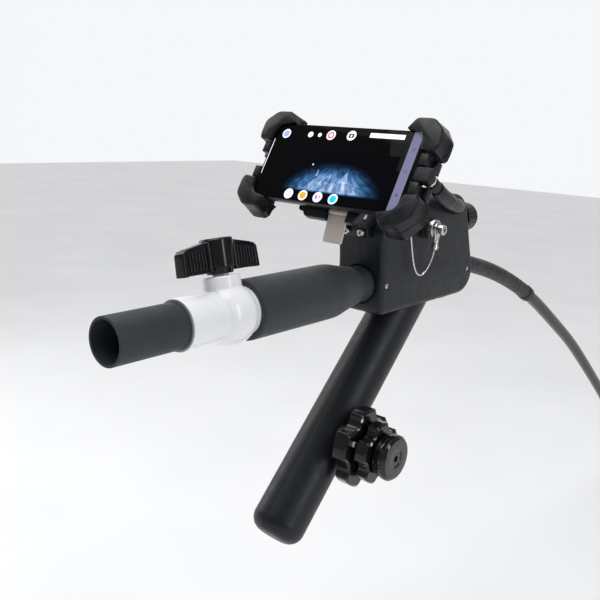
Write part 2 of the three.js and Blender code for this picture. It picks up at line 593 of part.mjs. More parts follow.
function bracket() {
  // the neck narrows from the holder's back to the tilt knuckle
  const [pivotY, pivotZ] = TILT_PIVOT;
  const neck = block([-1, 1], [18.7, 34], [-1, 1]);
  const position = neck.attributes.position;
  for (let i = 0; i < position.count; i += 1) {
    const front = position.getY(i) < 30;
    position.setX(i, position.getX(i) * (front ? 34 : 8));
    position.setZ(i, position.getZ(i) > 0 ? (front ? 8 : -14) : (front ? -36 : -30));
  }
  const arm = block([-8, 8], [32, pivotY], [pivotZ - 7, pivotZ + 7]);
  const knuckle = alongX(rod(9, -8, 8, 20)).translate(0, pivotY, pivotZ);
  const pinHole = alongX(rod(3 + GAP, -20, 20, 12)).translate(0, pivotY, pivotZ);
  const leverRoom = block([-3, 28], [18, 24], [-45, -27]);
  add(display, "tilt_arm", "holder", cut(join(neck, arm, knuckle), pinHole, leverRoom));

  const cos = Math.cos(DISPLAY_TILT);
  const sin = Math.sin(DISPLAY_TILT);
  const y = DISPLAY_AT[1] + pivotY * cos - pivotZ * sin;
  const z = DISPLAY_AT[2] + pivotY * sin + pivotZ * cos;
  const foot = sidePlate(outline([[-4.2, 44], [-9.5, 44, 1], [-12, 50], [-12, 60], [-4, 71, 4],
    [10, 74, 4], [20, 70, 2], [20, 66.1], [-5.5, 52.3]]), [-13, 13], 0);
  const earShape = outline([
    [y - 8, z - 4, 4], [y - 8, z + 5, 4], [y, z + 9, 4],
    [y + 14, z + 8], [y + 10, z - 14], [y + 3, z - 11, 2],
  ]);
  const ears = [[-13, -8.4], [8.4, 13]].map((x) => sidePlate(earShape, x, 0));
  const knuckleRoom = alongX(rod(9.6, -8.4, 8.4, 20)).translate(0, y, z);
  const footPin = alongX(rod(3 + GAP, -20, 20, 12)).translate(0, y, z);
  const screwHoles = [-7.5, 7.5].map((x) => rod(2.2, -16, 2, 10).translate(x, 0, 48.5));
  add(tool, "bracket_foot", "holder", cut(join(foot, ...ears), knuckleRoom, footPin, ...screwHoles));
  const pin = turned([[0, -15.5], [4.6, -15.5], [4.6, -13.3], [3, -13.3], [3, 15], [0, 15]], 12);
  add(tool, "tilt_pin", "steel", alongX(pin).translate(0, y, z));
  for (const [name, x] of [["bracket_screw_left", -7.5], ["bracket_screw_right", 7.5]]) {
    const screw = turned([[0, -15], [3.3, -15], [3.3, -12.4], [1.9, -12.4], [1.9, -5.4], [0, -5.4]], 10);
    add(tool, name, "steel", screw.translate(x, 0, 48.5));
  }
}

// ---------------------------------------------------------------- cable, lanyard and hose
const FRONT_CAP = [7, 50];             // the round cap's axis on the front face, x and z
const CAP_NECK_R = 8.5;
const CABLE_R = 5.8;
const CABLE_ENTRY = [25, 125, 65];     // where the cable enters the case's right side
const CABLE_RISE = [55, -105, 13];     // its direction out of the case
const PLUG_X = 85;                   // where the cable leaves the plug, beyond the phone's end

function cable() {
  const plug = join(
    facePlate(rectangle([PHONE.length / 2 + GAP, 90.6], [-6.2, 6.2], 1.5), [0.6, 8.2], 0),
    rod(5.4, 7, 24, 20).translate(PLUG_X, 0, 0),
  );
  add(display, "usb_plug", "rubber", plug);
  const cos = Math.cos(DISPLAY_TILT);
  const sin = Math.sin(DISPLAY_TILT);
  const behind = (x, depth) => [x, DISPLAY_AT[1] + depth * cos, DISPLAY_AT[2] + depth * sin];
  const run = swept([
    behind(PLUG_X, 24 + GAP), behind(PLUG_X, 30), [83.4, -5, 84.5], [80, 12, 79.6],
    [74, 31, 76.7], [66, 46.7, 74.7], [56, 65.8, 72.3], [46, 84.9, 70],
    [38, 100.2, 68.1], [30, 115.5, 66.2], [...CABLE_ENTRY], [20, 134.5, 63.9],
  ], CABLE_R, 4, 24);
  const relief = turned([[0, -18], [7.6, -18], [7.6, 12], [6.4, 26], [0, 26]], 16);
  relief.applyQuaternion(new THREE.Quaternion().setFromUnitVectors(
    new THREE.Vector3(0, 1, 0), new THREE.Vector3(...CABLE_RISE).normalize(),
  )).translate(...CABLE_ENTRY);
  const inside = block([-20, HOUSING_HALF + GAP], [90, 170], [30, 100]);
  add(tool, "usb_cable", "rubber", cut(join(run, relief), inside));
  const [x, z] = FRONT_CAP;
  const cap = turned([[0, 148], [CAP_NECK_R, 148], [CAP_NECK_R, 160], [15, 160], [15, 178],
    [13.5, 180], [0, 180]], 20);
  add(tool, "front_cap", "gloss", cap.translate(x, 0, z));
}

const LANYARD_AT = [66, 49];
function lanyard() {
  const [y, z] = LANYARD_AT;
  const face = HOUSING_HALF + GAP;
  add(tool, "lanyard_washer", "steel", alongX(tube(9, 2.6, face + 6.6, face + 11.6, 24)).translate(0, y, z));
  add(tool, "lanyard_bush", "rubber", alongX(tube(10, 2.6, face, face + 6.3, 24)).translate(0, y, z));
  const head = turned([[0, face], [2.3, face], [2.3, face + 14.2], [4.8, face + 14.2], [4.8, face + 19.4],
    [4.2, face + 20], [2.2, face + 20], [2.2, face + 17.4], [0, face + 17.4]], 14);
  add(tool, "lanyard_screw", "steel", alongX(head).translate(0, y, z));
  const lug = cut(
    join(alongX(rod(6.4, face + 11.9, face + 13.9, 18)),
      block([face + 11.9, face + 13.9], [-3.6, 3.6], [-13, 0]),
      rod(2.7, 0, 9, 12).rotateX(-Math.PI / 2).translate(face + 12.9, 0, -10)),
    alongX(rod(2.6, face + 10, face + 16, 12)),
  );
  add(tool, "lanyard_lug", "steel", lug.rotateX(-10 * DEG).translate(0, y, z));
  add(tool, "lanyard_wire", "steel", swept([
    [face + 12.9, 62.4, 29.6], [37, 61.2, 22], [35, 58, 13], [33, 52.6, 7.4],
    [31.6, 46.6, 9], [30.4, 42.4, 16], [29.4, 39.4, 27], [28.6, 36.6, 40],
    [28.2, 33.6, 54], [27.6, 29.6, 67], [24.5, 25, 78], [19.5, 18, 79], [15, 11, 71.5],
  ], 0.9, 2, 32));
}

const AHEAD = HOSE_ROUTE[HOSE_ROUTE.length - 1];
const BEFORE = HOSE_ROUTE[HOSE_ROUTE.length - 2];
const TIP_PITCH = Math.atan2(AHEAD[1] - BEFORE[1], AHEAD[0] - BEFORE[0]);
// along the tip from the hose's end: the two hinge axes and the head's far end
const PITCH_AXIS = 9;
const YAW_AXIS = 25;
const HEAD_END = 62;

function hose() {
  const route = HOSE_ROUTE.map(([y, z]) => [0, y, z]);
  add(tool, "guide_hose", "hose", swept(route, HOSE_R, 4, 50));
  add(tool, "hose_sheath", "foam", swept(route.slice(2, SHEATH_FRONT + 1), SHEATH_R, 4, 16, HOSE_R + GAP));

  const tip = new THREE.Group();       // origin at the hose's far end, Y out of it
  tip.position.set(0, ...AHEAD);
  tip.rotation.x = TIP_PITCH;
  tool.add(tip);
  const barrel = (start, end, radius) => turned([[0, start], [radius - 0.6, start], [radius, start + 0.6],
    [radius, end - 0.6], [radius - 0.6, end], [0, end]], 18);
  // flat plates that reach from a barrel to a hinge axis along X
  const hingeR = 3;
  const plates = (root, pivot, slabs) => slabs.map((slab) => join(
    block(slab, [Math.min(root, pivot), Math.max(root, pivot)], [-hingeR, hingeR]),
    alongX(rod(hingeR, ...slab, 12)).translate(0, pivot, 0),
  ));
  const ears = [[-5.5, -2.7], [2.7, 5.5]];
  const tongue = [[-2.4, 2.4]];
  const aboutZ = (geometry) => geometry.rotateY(Math.PI / 2);

  // the bending section is a link with crossed hinge axes, then the camera head
  add(tip, "hose_ferrule", "steel", join(barrel(GAP, 5, 7.9), ...plates(4, PITCH_AXIS, ears)));
  add(tip, "tip_link", "rubber", join(barrel(PITCH_AXIS + 4, YAW_AXIS - 4, 7.4),
    ...plates(PITCH_AXIS + 5, PITCH_AXIS, tongue), ...plates(YAW_AXIS - 5, YAW_AXIS, ears).map(aboutZ)));
  const eyes = plates(YAW_AXIS + 5, YAW_AXIS, tongue).map(aboutZ);
  const head = join(barrel(YAW_AXIS + 4, HEAD_END, 7.7), ...eyes);
  add(tip, "camera_head", "steel", cut(head, rod(5, HEAD_END - 1.4, HEAD_END + 2, 16)));
  add(tip, "lens_window", "glass", rod(4.7, HEAD_END - 1.1, HEAD_END - 0.2, 16));
}

inletLine();
valveHandle();
sleeve();
housing();
housingScrews();
housingInside();
steering();
phone();
holder();
bracket();
cable();
lanyard();
hose();

export default machine;
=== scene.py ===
"""Looks for the guide camera: a pistol-grip tool with an inlet pipe, a steerable hose and a phone display.

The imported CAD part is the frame. Each visible node is rebuilt here as a finer mesh in the same place.
Pieces are drawn in millimetres in the tool's local frames, and each frame's matrix takes them to metres.
"""
import json
import math
import bmesh
import bpy
from mathutils import Matrix, Vector


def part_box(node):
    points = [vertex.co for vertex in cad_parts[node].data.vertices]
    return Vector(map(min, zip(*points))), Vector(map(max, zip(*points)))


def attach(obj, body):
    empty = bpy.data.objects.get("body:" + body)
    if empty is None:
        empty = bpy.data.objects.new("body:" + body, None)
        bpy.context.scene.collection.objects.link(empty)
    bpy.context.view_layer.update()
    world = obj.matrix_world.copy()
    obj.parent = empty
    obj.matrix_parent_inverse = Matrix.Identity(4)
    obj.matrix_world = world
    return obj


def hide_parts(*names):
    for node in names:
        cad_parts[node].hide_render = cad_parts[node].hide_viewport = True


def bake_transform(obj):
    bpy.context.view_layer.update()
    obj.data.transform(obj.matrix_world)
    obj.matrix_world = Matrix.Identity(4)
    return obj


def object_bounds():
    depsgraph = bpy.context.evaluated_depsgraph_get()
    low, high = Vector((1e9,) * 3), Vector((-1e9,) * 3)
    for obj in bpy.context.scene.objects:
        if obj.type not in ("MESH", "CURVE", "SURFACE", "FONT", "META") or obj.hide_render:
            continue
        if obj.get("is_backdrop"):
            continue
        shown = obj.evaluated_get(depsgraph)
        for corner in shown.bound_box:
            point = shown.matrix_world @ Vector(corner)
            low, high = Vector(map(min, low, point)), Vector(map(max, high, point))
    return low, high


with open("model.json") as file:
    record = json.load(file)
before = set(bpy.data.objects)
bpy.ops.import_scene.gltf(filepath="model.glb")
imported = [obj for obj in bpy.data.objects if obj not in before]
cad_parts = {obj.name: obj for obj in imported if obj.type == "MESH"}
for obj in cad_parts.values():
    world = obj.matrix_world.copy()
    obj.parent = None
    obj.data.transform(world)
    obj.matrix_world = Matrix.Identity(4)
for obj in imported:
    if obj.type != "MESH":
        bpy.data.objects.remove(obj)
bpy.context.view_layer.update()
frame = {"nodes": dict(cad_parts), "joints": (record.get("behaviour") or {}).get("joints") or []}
JOINTS = {joint["name"]: joint for joint in frame["joints"]}

# ---------------------------------------------------------------- local frames
MM = 0.001
PIPE_START = -274                      # the inlet pipe's open end, from the housing's rear face
VALVE_Y = -167
VALVE_LEAN = -14
DISPLAY_AT = (0, -47.9, 106.1)         # middle of the phone's glass
DISPLAY_TILT = -29.76
HANDLE_ROOT = (78.8, -20)              # where the handle's axis starts, y and z
HANDLE_RAKE = 44.35

pipe_low, pipe_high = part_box("inlet_pipe")
ORIGIN = Vector((0, pipe_low.y - PIPE_START * MM, (pipe_low.z + pipe_high.z) / 2))
TOOL = Matrix.Translation(ORIGIN) @ Matrix.Scale(MM, 4)


def turn(degrees, axis):
    return Matrix.Rotation(math.radians(degrees), 4, axis)


VALVE = TOOL @ Matrix.Translation((0, VALVE_Y, 0)) @ turn(VALVE_LEAN, "Y")
DISPLAY = TOOL @ Matrix.Translation(DISPLAY_AT) @ turn(DISPLAY_TILT, "X")
WHEELS = Matrix.Translation(JOINTS["large_wheel_turn"]["pos_m"]) @ Matrix.Scale(MM, 4)
# Y of this frame runs down the handle's axis, and +Z faces the front
HANDLE = TOOL @ Matrix.Translation((0, *HANDLE_ROOT)) @ turn(-90 - HANDLE_RAKE, "X")
TILT_AXIS = TOOL.inverted() @ Vector(JOINTS["display_tilt"]["pos_m"])
LEVER_LEAN = 13
lever_pivot = DISPLAY.inverted() @ Vector(JOINTS["lever_swing"]["pos_m"])
LEVER = DISPLAY @ Matrix.Translation(lever_pivot) @ turn(LEVER_LEAN, "X")

# the hose's route ahead of the housing, y and z; the first points lie inside the housing
HOSE_ROUTE = [
    (66, 0), (100, 0), (140, 0), (172, -0.4), (196, -3), (218, -7.5), (258, -17.6), (298, -30),
    (341, -46), (384, -64.5), (426, -85), (468, -107.5), (513, -132.2), (559, -158), (599, -182.2),
    (638, -207.5), (682, -236.8), (726, -266.5), (770, -297), (812, -326.6), (852, -355.2), (892, -384),
]
HOSE_R = 7.75
SHEATH_R = 9.1
SHEATH_FRONT = 9
ahead, before = HOSE_ROUTE[-1], HOSE_ROUTE[-2]
TIP_PITCH = math.degrees(math.atan2(ahead[1] - before[1], ahead[0] - before[0]))
TIP = TOOL @ Matrix.Translation((0, *ahead)) @ turn(TIP_PITCH, "X")

# ---------------------------------------------------------------- camera
CAMERA_PLACE = Vector((0.37651, -0.55745, 0.23325))
CAMERA_AZIMUTH = 38.93
CAMERA_ELEVATION = 13.51
CAMERA_ROLL = 2.95
CAMERA_LENS = 45.34


def camera():
    azimuth, elevation = math.radians(CAMERA_AZIMUTH), math.radians(CAMERA_ELEVATION)
    forward = Vector((
        -math.sin(azimuth) * math.cos(elevation),
        math.cos(azimuth) * math.cos(elevation),
        -math.sin(elevation),
    ))
    right = forward.cross(Vector((0, 0, 1))).normalized()
    right = Matrix.Rotation(-math.radians(CAMERA_ROLL), 3, forward) @ right
    up = right.cross(forward)
    data = bpy.data.cameras.new("camera")
    data.lens = CAMERA_LENS
    data.sensor_width = 36
    data.clip_start = 0.01
    item = bpy.data.objects.new("camera", data)
    columns = Matrix((right, up, -forward)).transposed()
    item.matrix_world = Matrix.Translation(CAMERA_PLACE) @ columns.to_4x4()
    bpy.context.scene.collection.objects.link(item)
    bpy.context.scene.camera = item


camera()


# ---------------------------------------------------------------- shapes


def mesh_object(name, vertices, faces):
    mesh = bpy.data.meshes.new(name)
    mesh.from_pydata([tuple(v) for v in vertices], [], faces)
    work = bmesh.new()
    work.from_mesh(mesh)
    bmesh.ops.remove_doubles(work, verts=work.verts, dist=1e-5)
    bmesh.ops.recalc_face_normals(work, faces=work.faces)
    work.to_mesh(mesh)
    work.free()
    item = bpy.data.objects.new(name, mesh)
    bpy.context.scene.collection.objects.link(item)
    return item


def lofted(loops, closed=False):
    """A body through closed loops of points, capped at both ends or closed on itself."""
    count, rings = len(loops[0]), len(loops)
    faces = []
    for i in range(rings if closed else rings - 1):
        here, after = i * count, ((i + 1) % rings) * count
        for k in range(count):
            n = (k + 1) % count
            faces.append((here + k, here + n, after + n, after + k))
    if not closed:
        faces.append(tuple(reversed(range(count))))
        faces.append(tuple(range((rings - 1) * count, rings * count)))
    return mesh_object("solid", [p for loop in loops for p in loop], faces)


def softened(corners, closed=True, steps=6):
    """Corners are (u, v) or (u, v, reach): a corner with a reach is rounded over that distance."""
    count = len(corners)
    points = []
    for i, corner in enumerate(corners):
        here = Vector(corner[:2])
        reach = corner[2] if len(corner) > 2 else 0
        if not closed and i in (0, count - 1) or reach <= 0:
            points.append(here)
            continue
        previous = Vector(corners[i - 1][:2]) - here
        following = Vector(corners[(i + 1) % count][:2]) - here
        start = here + previous * min(reach / previous.length, 0.5)
        end = here + following * min(reach / following.length, 0.5)
        for k in range(steps + 1):
            t = k / steps
            points.append(start * (1 - t) ** 2 + here * 2 * t * (1 - t) + end * t * t)
    return points


def inset(corners, distance):
    """The same outline with every edge moved inwards."""
    count = len(corners)
    area = sum(corners[i][0] * corners[(i + 1) % count][1] - corners[(i + 1) % count][0] * corners[i][1]
               for i in range(count))
    inward = math.copysign(distance, area)
    moved = []
    for i in range(count):
        before_it, here, after_it = (Vector(corners[(i + k) % count][:2]) for k in (-1, 0, 1))
        first, second = (here - before_it).normalized(), (after_it - here).normalized()
        from_first = before_it + Vector((-first.y, first.x)) * inward
        from_second = here + Vector((-second.y, second.x)) * inward
        cross = first.x * second.y - first.y * second.x
        gap = from_second - from_first
        along = (gap.x * second.y - gap.y * second.x) / cross
        corner = from_first + first * along
        reach = corners[i][2] if len(corners[i]) > 2 else 0
        moved.append((corner.x, corner.y, max(reach - distance * 0.6, 0.05)))
    return moved


SIDE = lambda u, v, w: Vector((w, u, v))     # an outline in y and z, thick along x
FACE = lambda u, v, w: Vector((u, w, v))     # an outline in x and z, thick along y
TOP = lambda u, v, w: Vector((u, v, w))      # an outline in x and y, thick along z


def plate(corners, span, edge=0.4, place=SIDE, steps=6, edge_steps=3, chamfer=False):
    """An outline made thick, its two rims rounded or chamfered."""
    corners = [(c[0], c[1], max(c[2] if len(c) > 2 else 0, 0.05)) for c in corners]
    low, high = span
    rims = []
    if chamfer:
        soft = edge * 0.12
        rims = [(edge, 0), (edge - soft * 2, soft * 0.5), (soft * 0.5, edge - soft * 2), (0, edge)]
    else:
        for k in range(edge_steps + 1):
            angle = k / edge_steps * math.pi / 2
            rims.append((edge * (1 - math.sin(angle)), edge * (1 - math.cos(angle))))
    levels = [(d, low + w) for d, w in rims] + [(d, high - w) for d, w in reversed(rims)]
    loops = []
    for distance, level in levels:
        shape = softened(inset(corners, distance) if distance > 0 else corners, steps=steps)
        loops.append([place(p.x, p.y, level) for p in shape])
    return lofted(loops)


def box(xs, ys, zs, edge=0.3, corner=0.3):
    corners = [(xs[0], ys[0]), (xs[1], ys[0]), (xs[1], ys[1]), (xs[0], ys[1])]
    return plate([(*place, corner) for place in corners], zs, edge, TOP, steps=3)


def turned(profile, segments=96, steps=4, axis="Y"):
    """A turned body: a profile that starts on the axis gives a solid, and any other gives a ring."""
    closed = profile[0][0] > 0
    points = softened(profile, closed, steps)
    loops = []
    for point in points:
        if not closed and point.x < 1e-6:
            continue
        ring = []
        for k in range(segments):
            angle = k / segments * 2 * math.pi
            a, b = point.x * math.sin(angle), point.x * math.cos(angle)
            ring.append({"X": (point.y, a, b), "Y": (a, point.y, b), "Z": (a, b, point.y)}[axis])
        loops.append(ring)
    return lofted(loops, closed)


def rod(radius, start, end, axis="Y", edge=0.3, segments=48):
    edge = min(edge, radius * 0.5)
    return turned([(0, start), (radius, start, edge), (radius, end, edge), (0, end)], segments, 3, axis)


def ring(outer, inner, start, end, axis="Y", edge=0.3, segments=96):
    return turned([(inner, start, edge), (outer, start, edge), (outer, end, edge), (inner, end, edge)],
                  segments, 3, axis)


def hexagon(radius):
    return [(radius * math.cos(k * math.pi / 3), radius * math.sin(k * math.pi / 3)) for k in range(6)]


def around(count, radius, offset=0):
    """Evenly spaced places on a circle, the first one straight up."""
    angles = [(k + offset) / count * 2 * math.pi for k in range(count)]
    return [(radius * math.sin(angle), radius * math.cos(angle)) for angle in angles]


def smooth_path(points, step):
    """Points close together on a smooth curve through the given ones."""
    points = [Vector(p) for p in points]
    chain = [2 * points[0] - points[1], *points, 2 * points[-1] - points[-2]]
    path = [points[0]]
    for i in range(len(points) - 1):
        p0, p1, p2, p3 = chain[i:i + 4]
        spans = [math.sqrt((b - a).length) for a, b in ((p0, p1), (p1, p2), (p2, p3))]
        before_it = (p1 - p0) / spans[0] - (p2 - p0) / (spans[0] + spans[1]) + (p2 - p1) / spans[1]
        after_it = (p2 - p1) / spans[1] - (p3 - p1) / (spans[1] + spans[2]) + (p3 - p2) / spans[2]
        m1, m2 = before_it * spans[1], after_it * spans[1]
        count = max(1, round((p2 - p1).length / step))
        for k in range(1, count + 1):
            t = k / count
            path.append((2 * t ** 3 - 3 * t * t + 1) * p1 + (t ** 3 - 2 * t * t + t) * m1
                        + (3 * t * t - 2 * t ** 3) * p2 + (t ** 3 - t * t) * m2)
    return path


def along_path(path, radius, sides=32, inner=0, twist=None):
    """A tube along a path. twist gives the radius at (distance along, angle) for a cord's surface."""
    tangents = []
    for i in range(len(path)):
        tangents.append((path[min(i + 1, len(path) - 1)] - path[max(i - 1, 0)]).normalized())
    side = tangents[0].cross(Vector((0, 0, 1)))
    if side.length < 0.1:
        side = tangents[0].cross(Vector((1, 0, 0)))
    side.normalize()
    frames = []
    for tangent in tangents:
        side = (side - tangent * side.dot(tangent)).normalized()
        frames.append((side.copy(), tangent.cross(side)))
    distances = [0]
    for a, b in zip(path, path[1:]):
        distances.append(distances[-1] + (b - a).length)

    def loop(i, size):
        u, v = frames[i]
        points = []
        for k in range(sides):
            angle = k / sides * 2 * math.pi
            reach = size if twist is None or size != radius else twist(distances[i], angle)
            points.append(path[i] + (u * math.cos(angle) + v * math.sin(angle)) * reach)
        return points

    outside = [loop(i, radius) for i in range(len(path))]
    if inner <= 0:
        return lofted(outside)
    inside = [loop(i, inner) for i in reversed(range(len(path)))]
    return lofted(outside + inside, closed=True)


def moved(item, matrix):
    item.data.transform(matrix)
    return item


def shifted(item, x=0, y=0, z=0):
    return moved(item, Matrix.Translation((x, y, z)))


def mirrored(item, x=1, z=1):
    item.data.transform(Matrix.Diagonal((x, 1, z, 1)))
    if x * z < 0:
        item.data.flip_normals()
    return item


def baked(item):
    """Applies the item's modifiers to its mesh."""
    bpy.context.view_layer.update()
    shape = item.evaluated_get(bpy.context.evaluated_depsgraph_get())
    result = bpy.data.meshes.new_from_object(shape)
    item.modifiers.clear()
    item.data = result
    return item


def combine(item, tools, operation, keep=False):
    for tool in tools:
        modifier = item.modifiers.new("cut", "BOOLEAN")
        modifier.operation = operation
        modifier.solver = "EXACT"
        modifier.object = tool
    baked(item)
    if not keep:
        for tool in tools:
            bpy.data.objects.remove(tool)
    return item


def cut(item, *tools):
    return combine(item, tools, "DIFFERENCE")


def join(item, *tools):
    return combine(item, tools, "UNION")


def eased(item, width, angle, segments):
    """Small rounds on the edges that a cut or join left sharp."""
    modifier = item.modifiers.new("ease", "BEVEL")
    modifier.width = width
    modifier.segments = segments
    modifier.limit_method = "ANGLE"
    modifier.angle_limit = math.radians(angle)
    modifier.use_clamp_overlap = True
    return baked(item)


FRAMES = {
    "main": TOOL, "valve_key": VALVE, "display": DISPLAY, "jaw": DISPLAY, "power_key": DISPLAY,
    "volume_key": DISPLAY, "lever": LEVER, "large_steering_wheel": WHEELS, "small_steering_wheel": WHEELS,
    "brake": WHEELS, "tip_joint": TIP, "camera": TIP,
}


def piece(name, item, body, finish, nodes=(), smooth=32, place=None):
    """Puts a finished shape in its body's frame, or another one, and gives it its body and material."""
    item.name = name
    item.data.name = name
    item.data.transform(place or FRAMES[body])
    work = bmesh.new()
    work.from_mesh(item.data)
    bmesh.ops.recalc_face_normals(work, faces=work.faces)
    work.to_mesh(item.data)
    work.free()
    for polygon in item.data.polygons:
        polygon.use_smooth = True
    item.data.set_sharp_from_angle(angle=math.radians(smooth))
    look, slot = FINISHES[finish]
    item.data.materials.clear()
    item.data.materials.append(look)
    if body:
        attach(item, body)
    if nodes:
        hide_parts(*nodes)
    return item


# ---------------------------------------------------------------- materials


class Nodes:
    """A short way to wire a material's nodes."""

    def __init__(self, name):
        self.material = bpy.data.materials.new(name)
        self.material.use_nodes = True
        self.tree = self.material.node_tree
        self.shader = self.tree.nodes["Principled BSDF"]
        self.coordinates = self.add("ShaderNodeTexCoord").outputs["Object"]

    def add(self, kind, **values):
        node = self.tree.nodes.new(kind)
        for key, value in values.items():
            setattr(node, key, value)
        return node

    def link(self, output, target):
        self.tree.links.new(output, target)

    def stretched(self, scale):
        mapping = self.add("ShaderNodeMapping")
        mapping.inputs["Scale"].default_value = scale
        self.link(self.coordinates, mapping.inputs["Vector"])
        return mapping.outputs["Vector"]

    def noise(self, scale, detail=4, source=None, distortion=0):
        node = self.add("ShaderNodeTexNoise")
        node.inputs["Scale"].default_value = scale
        node.inputs["Detail"].default_value = detail
        node.inputs["Distortion"].default_value = distortion
        self.link(source or self.coordinates, node.inputs["Vector"])
        return node.outputs["Fac"]

    def ranged(self, value, low, high, to_low, to_high):
        node = self.add("ShaderNodeMapRange")
        for key, number in zip(("From Min", "From Max", "To Min", "To Max"), (low, high, to_low, to_high)):
            node.inputs[key].default_value = number
        self.link(value, node.inputs["Value"])
        return node.outputs["Result"]

    def math(self, operation, first, second):
        node = self.add("ShaderNodeMath", operation=operation)
        for socket, value in zip(node.inputs, (first, second)):
            if isinstance(value, (int, float)):
                socket.default_value = value
            else:
                self.link(value, socket)
        return node.outputs[0]

    def mixed(self, share, first, second):
        node = self.add("ShaderNodeMix", data_type="RGBA")
        for socket, value in zip((node.inputs[6], node.inputs[7]), (first, second)):
            if isinstance(value, tuple):
                socket.default_value = (*value, 1)
            else:
                self.link(value, socket)
        self.link(share, node.inputs[0])
        return node.outputs[2]

    def bump(self, height, strength, distance):
        node = self.add("ShaderNodeBump")
        node.inputs["Strength"].default_value = strength
        node.inputs["Distance"].default_value = distance
        self.link(height, node.inputs["Height"])
        self.link(node.outputs["Normal"], self.shader.inputs["Normal"])

    def edges(self):
        """How strongly a point lies on an outward edge."""
        return self.ranged(self.add("ShaderNodeNewGeometry").outputs["Pointiness"], 0.52, 0.6, 0, 1)

    def finished(self, **values):
        """The material, with plain values for the shader's inputs given as words joined by _."""
        for key, value in values.items():
            self.shader.inputs[key.replace("_", " ")].default_value = value
        return self.material


def shade(colour, factor):
    return tuple(min(c * factor, 1) for c in colour)


def surface(name, colour, rough, metallic=0.0, grain=1500, depth=0.00004, strength=0.25, spread=0.12,
            mottle=0.18, wear_and_glint=0.25, wear_and_glint_tone=2.2, stretch=None, coat=0.0, sheen=0.0, specular=0.3):
    """A material with fine grain, soft colour and gloss variation, and lighter outward edges: partly wear,
    partly a painted highlight where the edges catch the light.
    """
    n = Nodes(name)
    source = n.stretched(stretch) if stretch else None
    fine = n.noise(grain, 3, source)
    broad = n.noise(22, 5)
    patches = n.noise(140, 4, distortion=0.6)
    tinted = n.mixed(n.ranged(broad, 0.35, 0.65, 0, 1), shade(colour, 1 - mottle), shade(colour, 1 + mottle))
    # outward edges painted lighter: partly wear, partly a painted edge highlight
    edge_wear_and_glint = n.math("MULTIPLY", n.edges(), n.ranged(patches, 0.4, 0.65, 0.2 * wear_and_glint, wear_and_glint))
    n.link(n.mixed(edge_wear_and_glint, tinted, shade(colour, wear_and_glint_tone)), n.shader.inputs["Base Color"])
    gloss = n.math("ADD", n.ranged(patches, 0.3, 0.7, rough - spread, rough + spread),
                   n.ranged(fine, 0.3, 0.7, -0.03, 0.03))
    n.link(gloss, n.shader.inputs["Roughness"])
    n.bump(fine, strength, depth)
    return n.finished(Metallic=metallic, Coat_Weight=coat, Coat_Roughness=0.1, Sheen_Weight=sheen,
                      Specular_IOR_Level=specular)


def glow(name, colour, power):
    """A lit area of the phone's screen, under its glass."""
    n = Nodes(name)
    shimmer = n.noise(900, 2)
    n.link(n.mixed(n.ranged(shimmer, 0.3, 0.7, 0, 0.25), colour, shade(colour, 0.8)),
           n.shader.inputs["Base Color"])
    n.link(n.mixed(n.ranged(shimmer, 0.3, 0.7, 0, 0.2), colour, shade(colour, 0.85)),
           n.shader.inputs["Emission Color"])
    return n.finished(Emission_Strength=power, Roughness=0.2, Specular_IOR_Level=0.12)


def duct_picture():
    """The camera's picture: the lit floor of a duct, fading into the dark, with radial streaks."""
    n = Nodes("duct_picture")
    place = n.add("ShaderNodeUVMap").outputs["UV"]
    split = n.add("ShaderNodeSeparateXYZ")
    n.link(place, split.inputs["Vector"])
    across = n.math("SUBTRACT", split.outputs["X"], 0.05)
    up = n.math("SUBTRACT", split.outputs["Y"], 0.02)
    ray = n.math("DIVIDE", across, n.math("ADD", n.math("ABSOLUTE", up, 0), 0.05))
    reach = n.math("LOGARITHM", n.math("ADD", n.math("ABSOLUTE", up, 0), 0.05), 2.718)
    polar = n.add("ShaderNodeCombineXYZ")
    n.link(n.math("MULTIPLY", ray, 3.2), polar.inputs["X"])
    n.link(reach, polar.inputs["Y"])
    streaks = n.noise(1.6, 9, polar.outputs["Vector"], 0.6)
    blotches = n.noise(9, 8, place, 1.2)
    texture = n.ranged(n.math("MULTIPLY", streaks, blotches), 0.14, 0.40, 0.42, 1.3)
    # the lit patch: brightest low in the middle, with a straight lower edge
    side_fall = n.math("POWER", n.math("ABSOLUTE", n.math("DIVIDE", across, 0.50), 0), 2)
    down = n.math("ADD", split.outputs["Y"], 0.30)
    up_fall = n.math("POWER", n.math("ABSOLUTE", n.math("DIVIDE", down, 0.32), 0), 2)
    lit = n.ranged(n.math("ADD", side_fall, up_fall), 0.0, 1.05, 1.0, 0.0)
    lit = n.math("POWER", lit, 1.4)
    lit = n.math("MULTIPLY", lit, n.ranged(split.outputs["Y"], -0.262, -0.240, 0.0, 1.0))
    level = n.math("MULTIPLY", lit, texture)
    ramp = n.add("ShaderNodeValToRGB")
    stops = ((0.0, (0, 0, 0.001)), (0.12, (0.004, 0.02, 0.055)), (0.38, (0.05, 0.16, 0.36)),
             (0.68, (0.30, 0.47, 0.78)), (1.0, (0.93, 0.96, 1.0)))
    for index, (where, tint) in enumerate(stops):
        stop = ramp.color_ramp.elements[index] if index < 2 else ramp.color_ramp.elements.new(where)
        stop.position = where
        stop.color = (*tint, 1)
    n.link(level, ramp.inputs["Fac"])
    n.link(ramp.outputs["Color"], n.shader.inputs["Emission Color"])
    return n.finished(Base_Color=(0.001, 0.001, 0.0015, 1), Emission_Strength=1.0, Roughness=0.08,
                      Specular_IOR_Level=0.12)


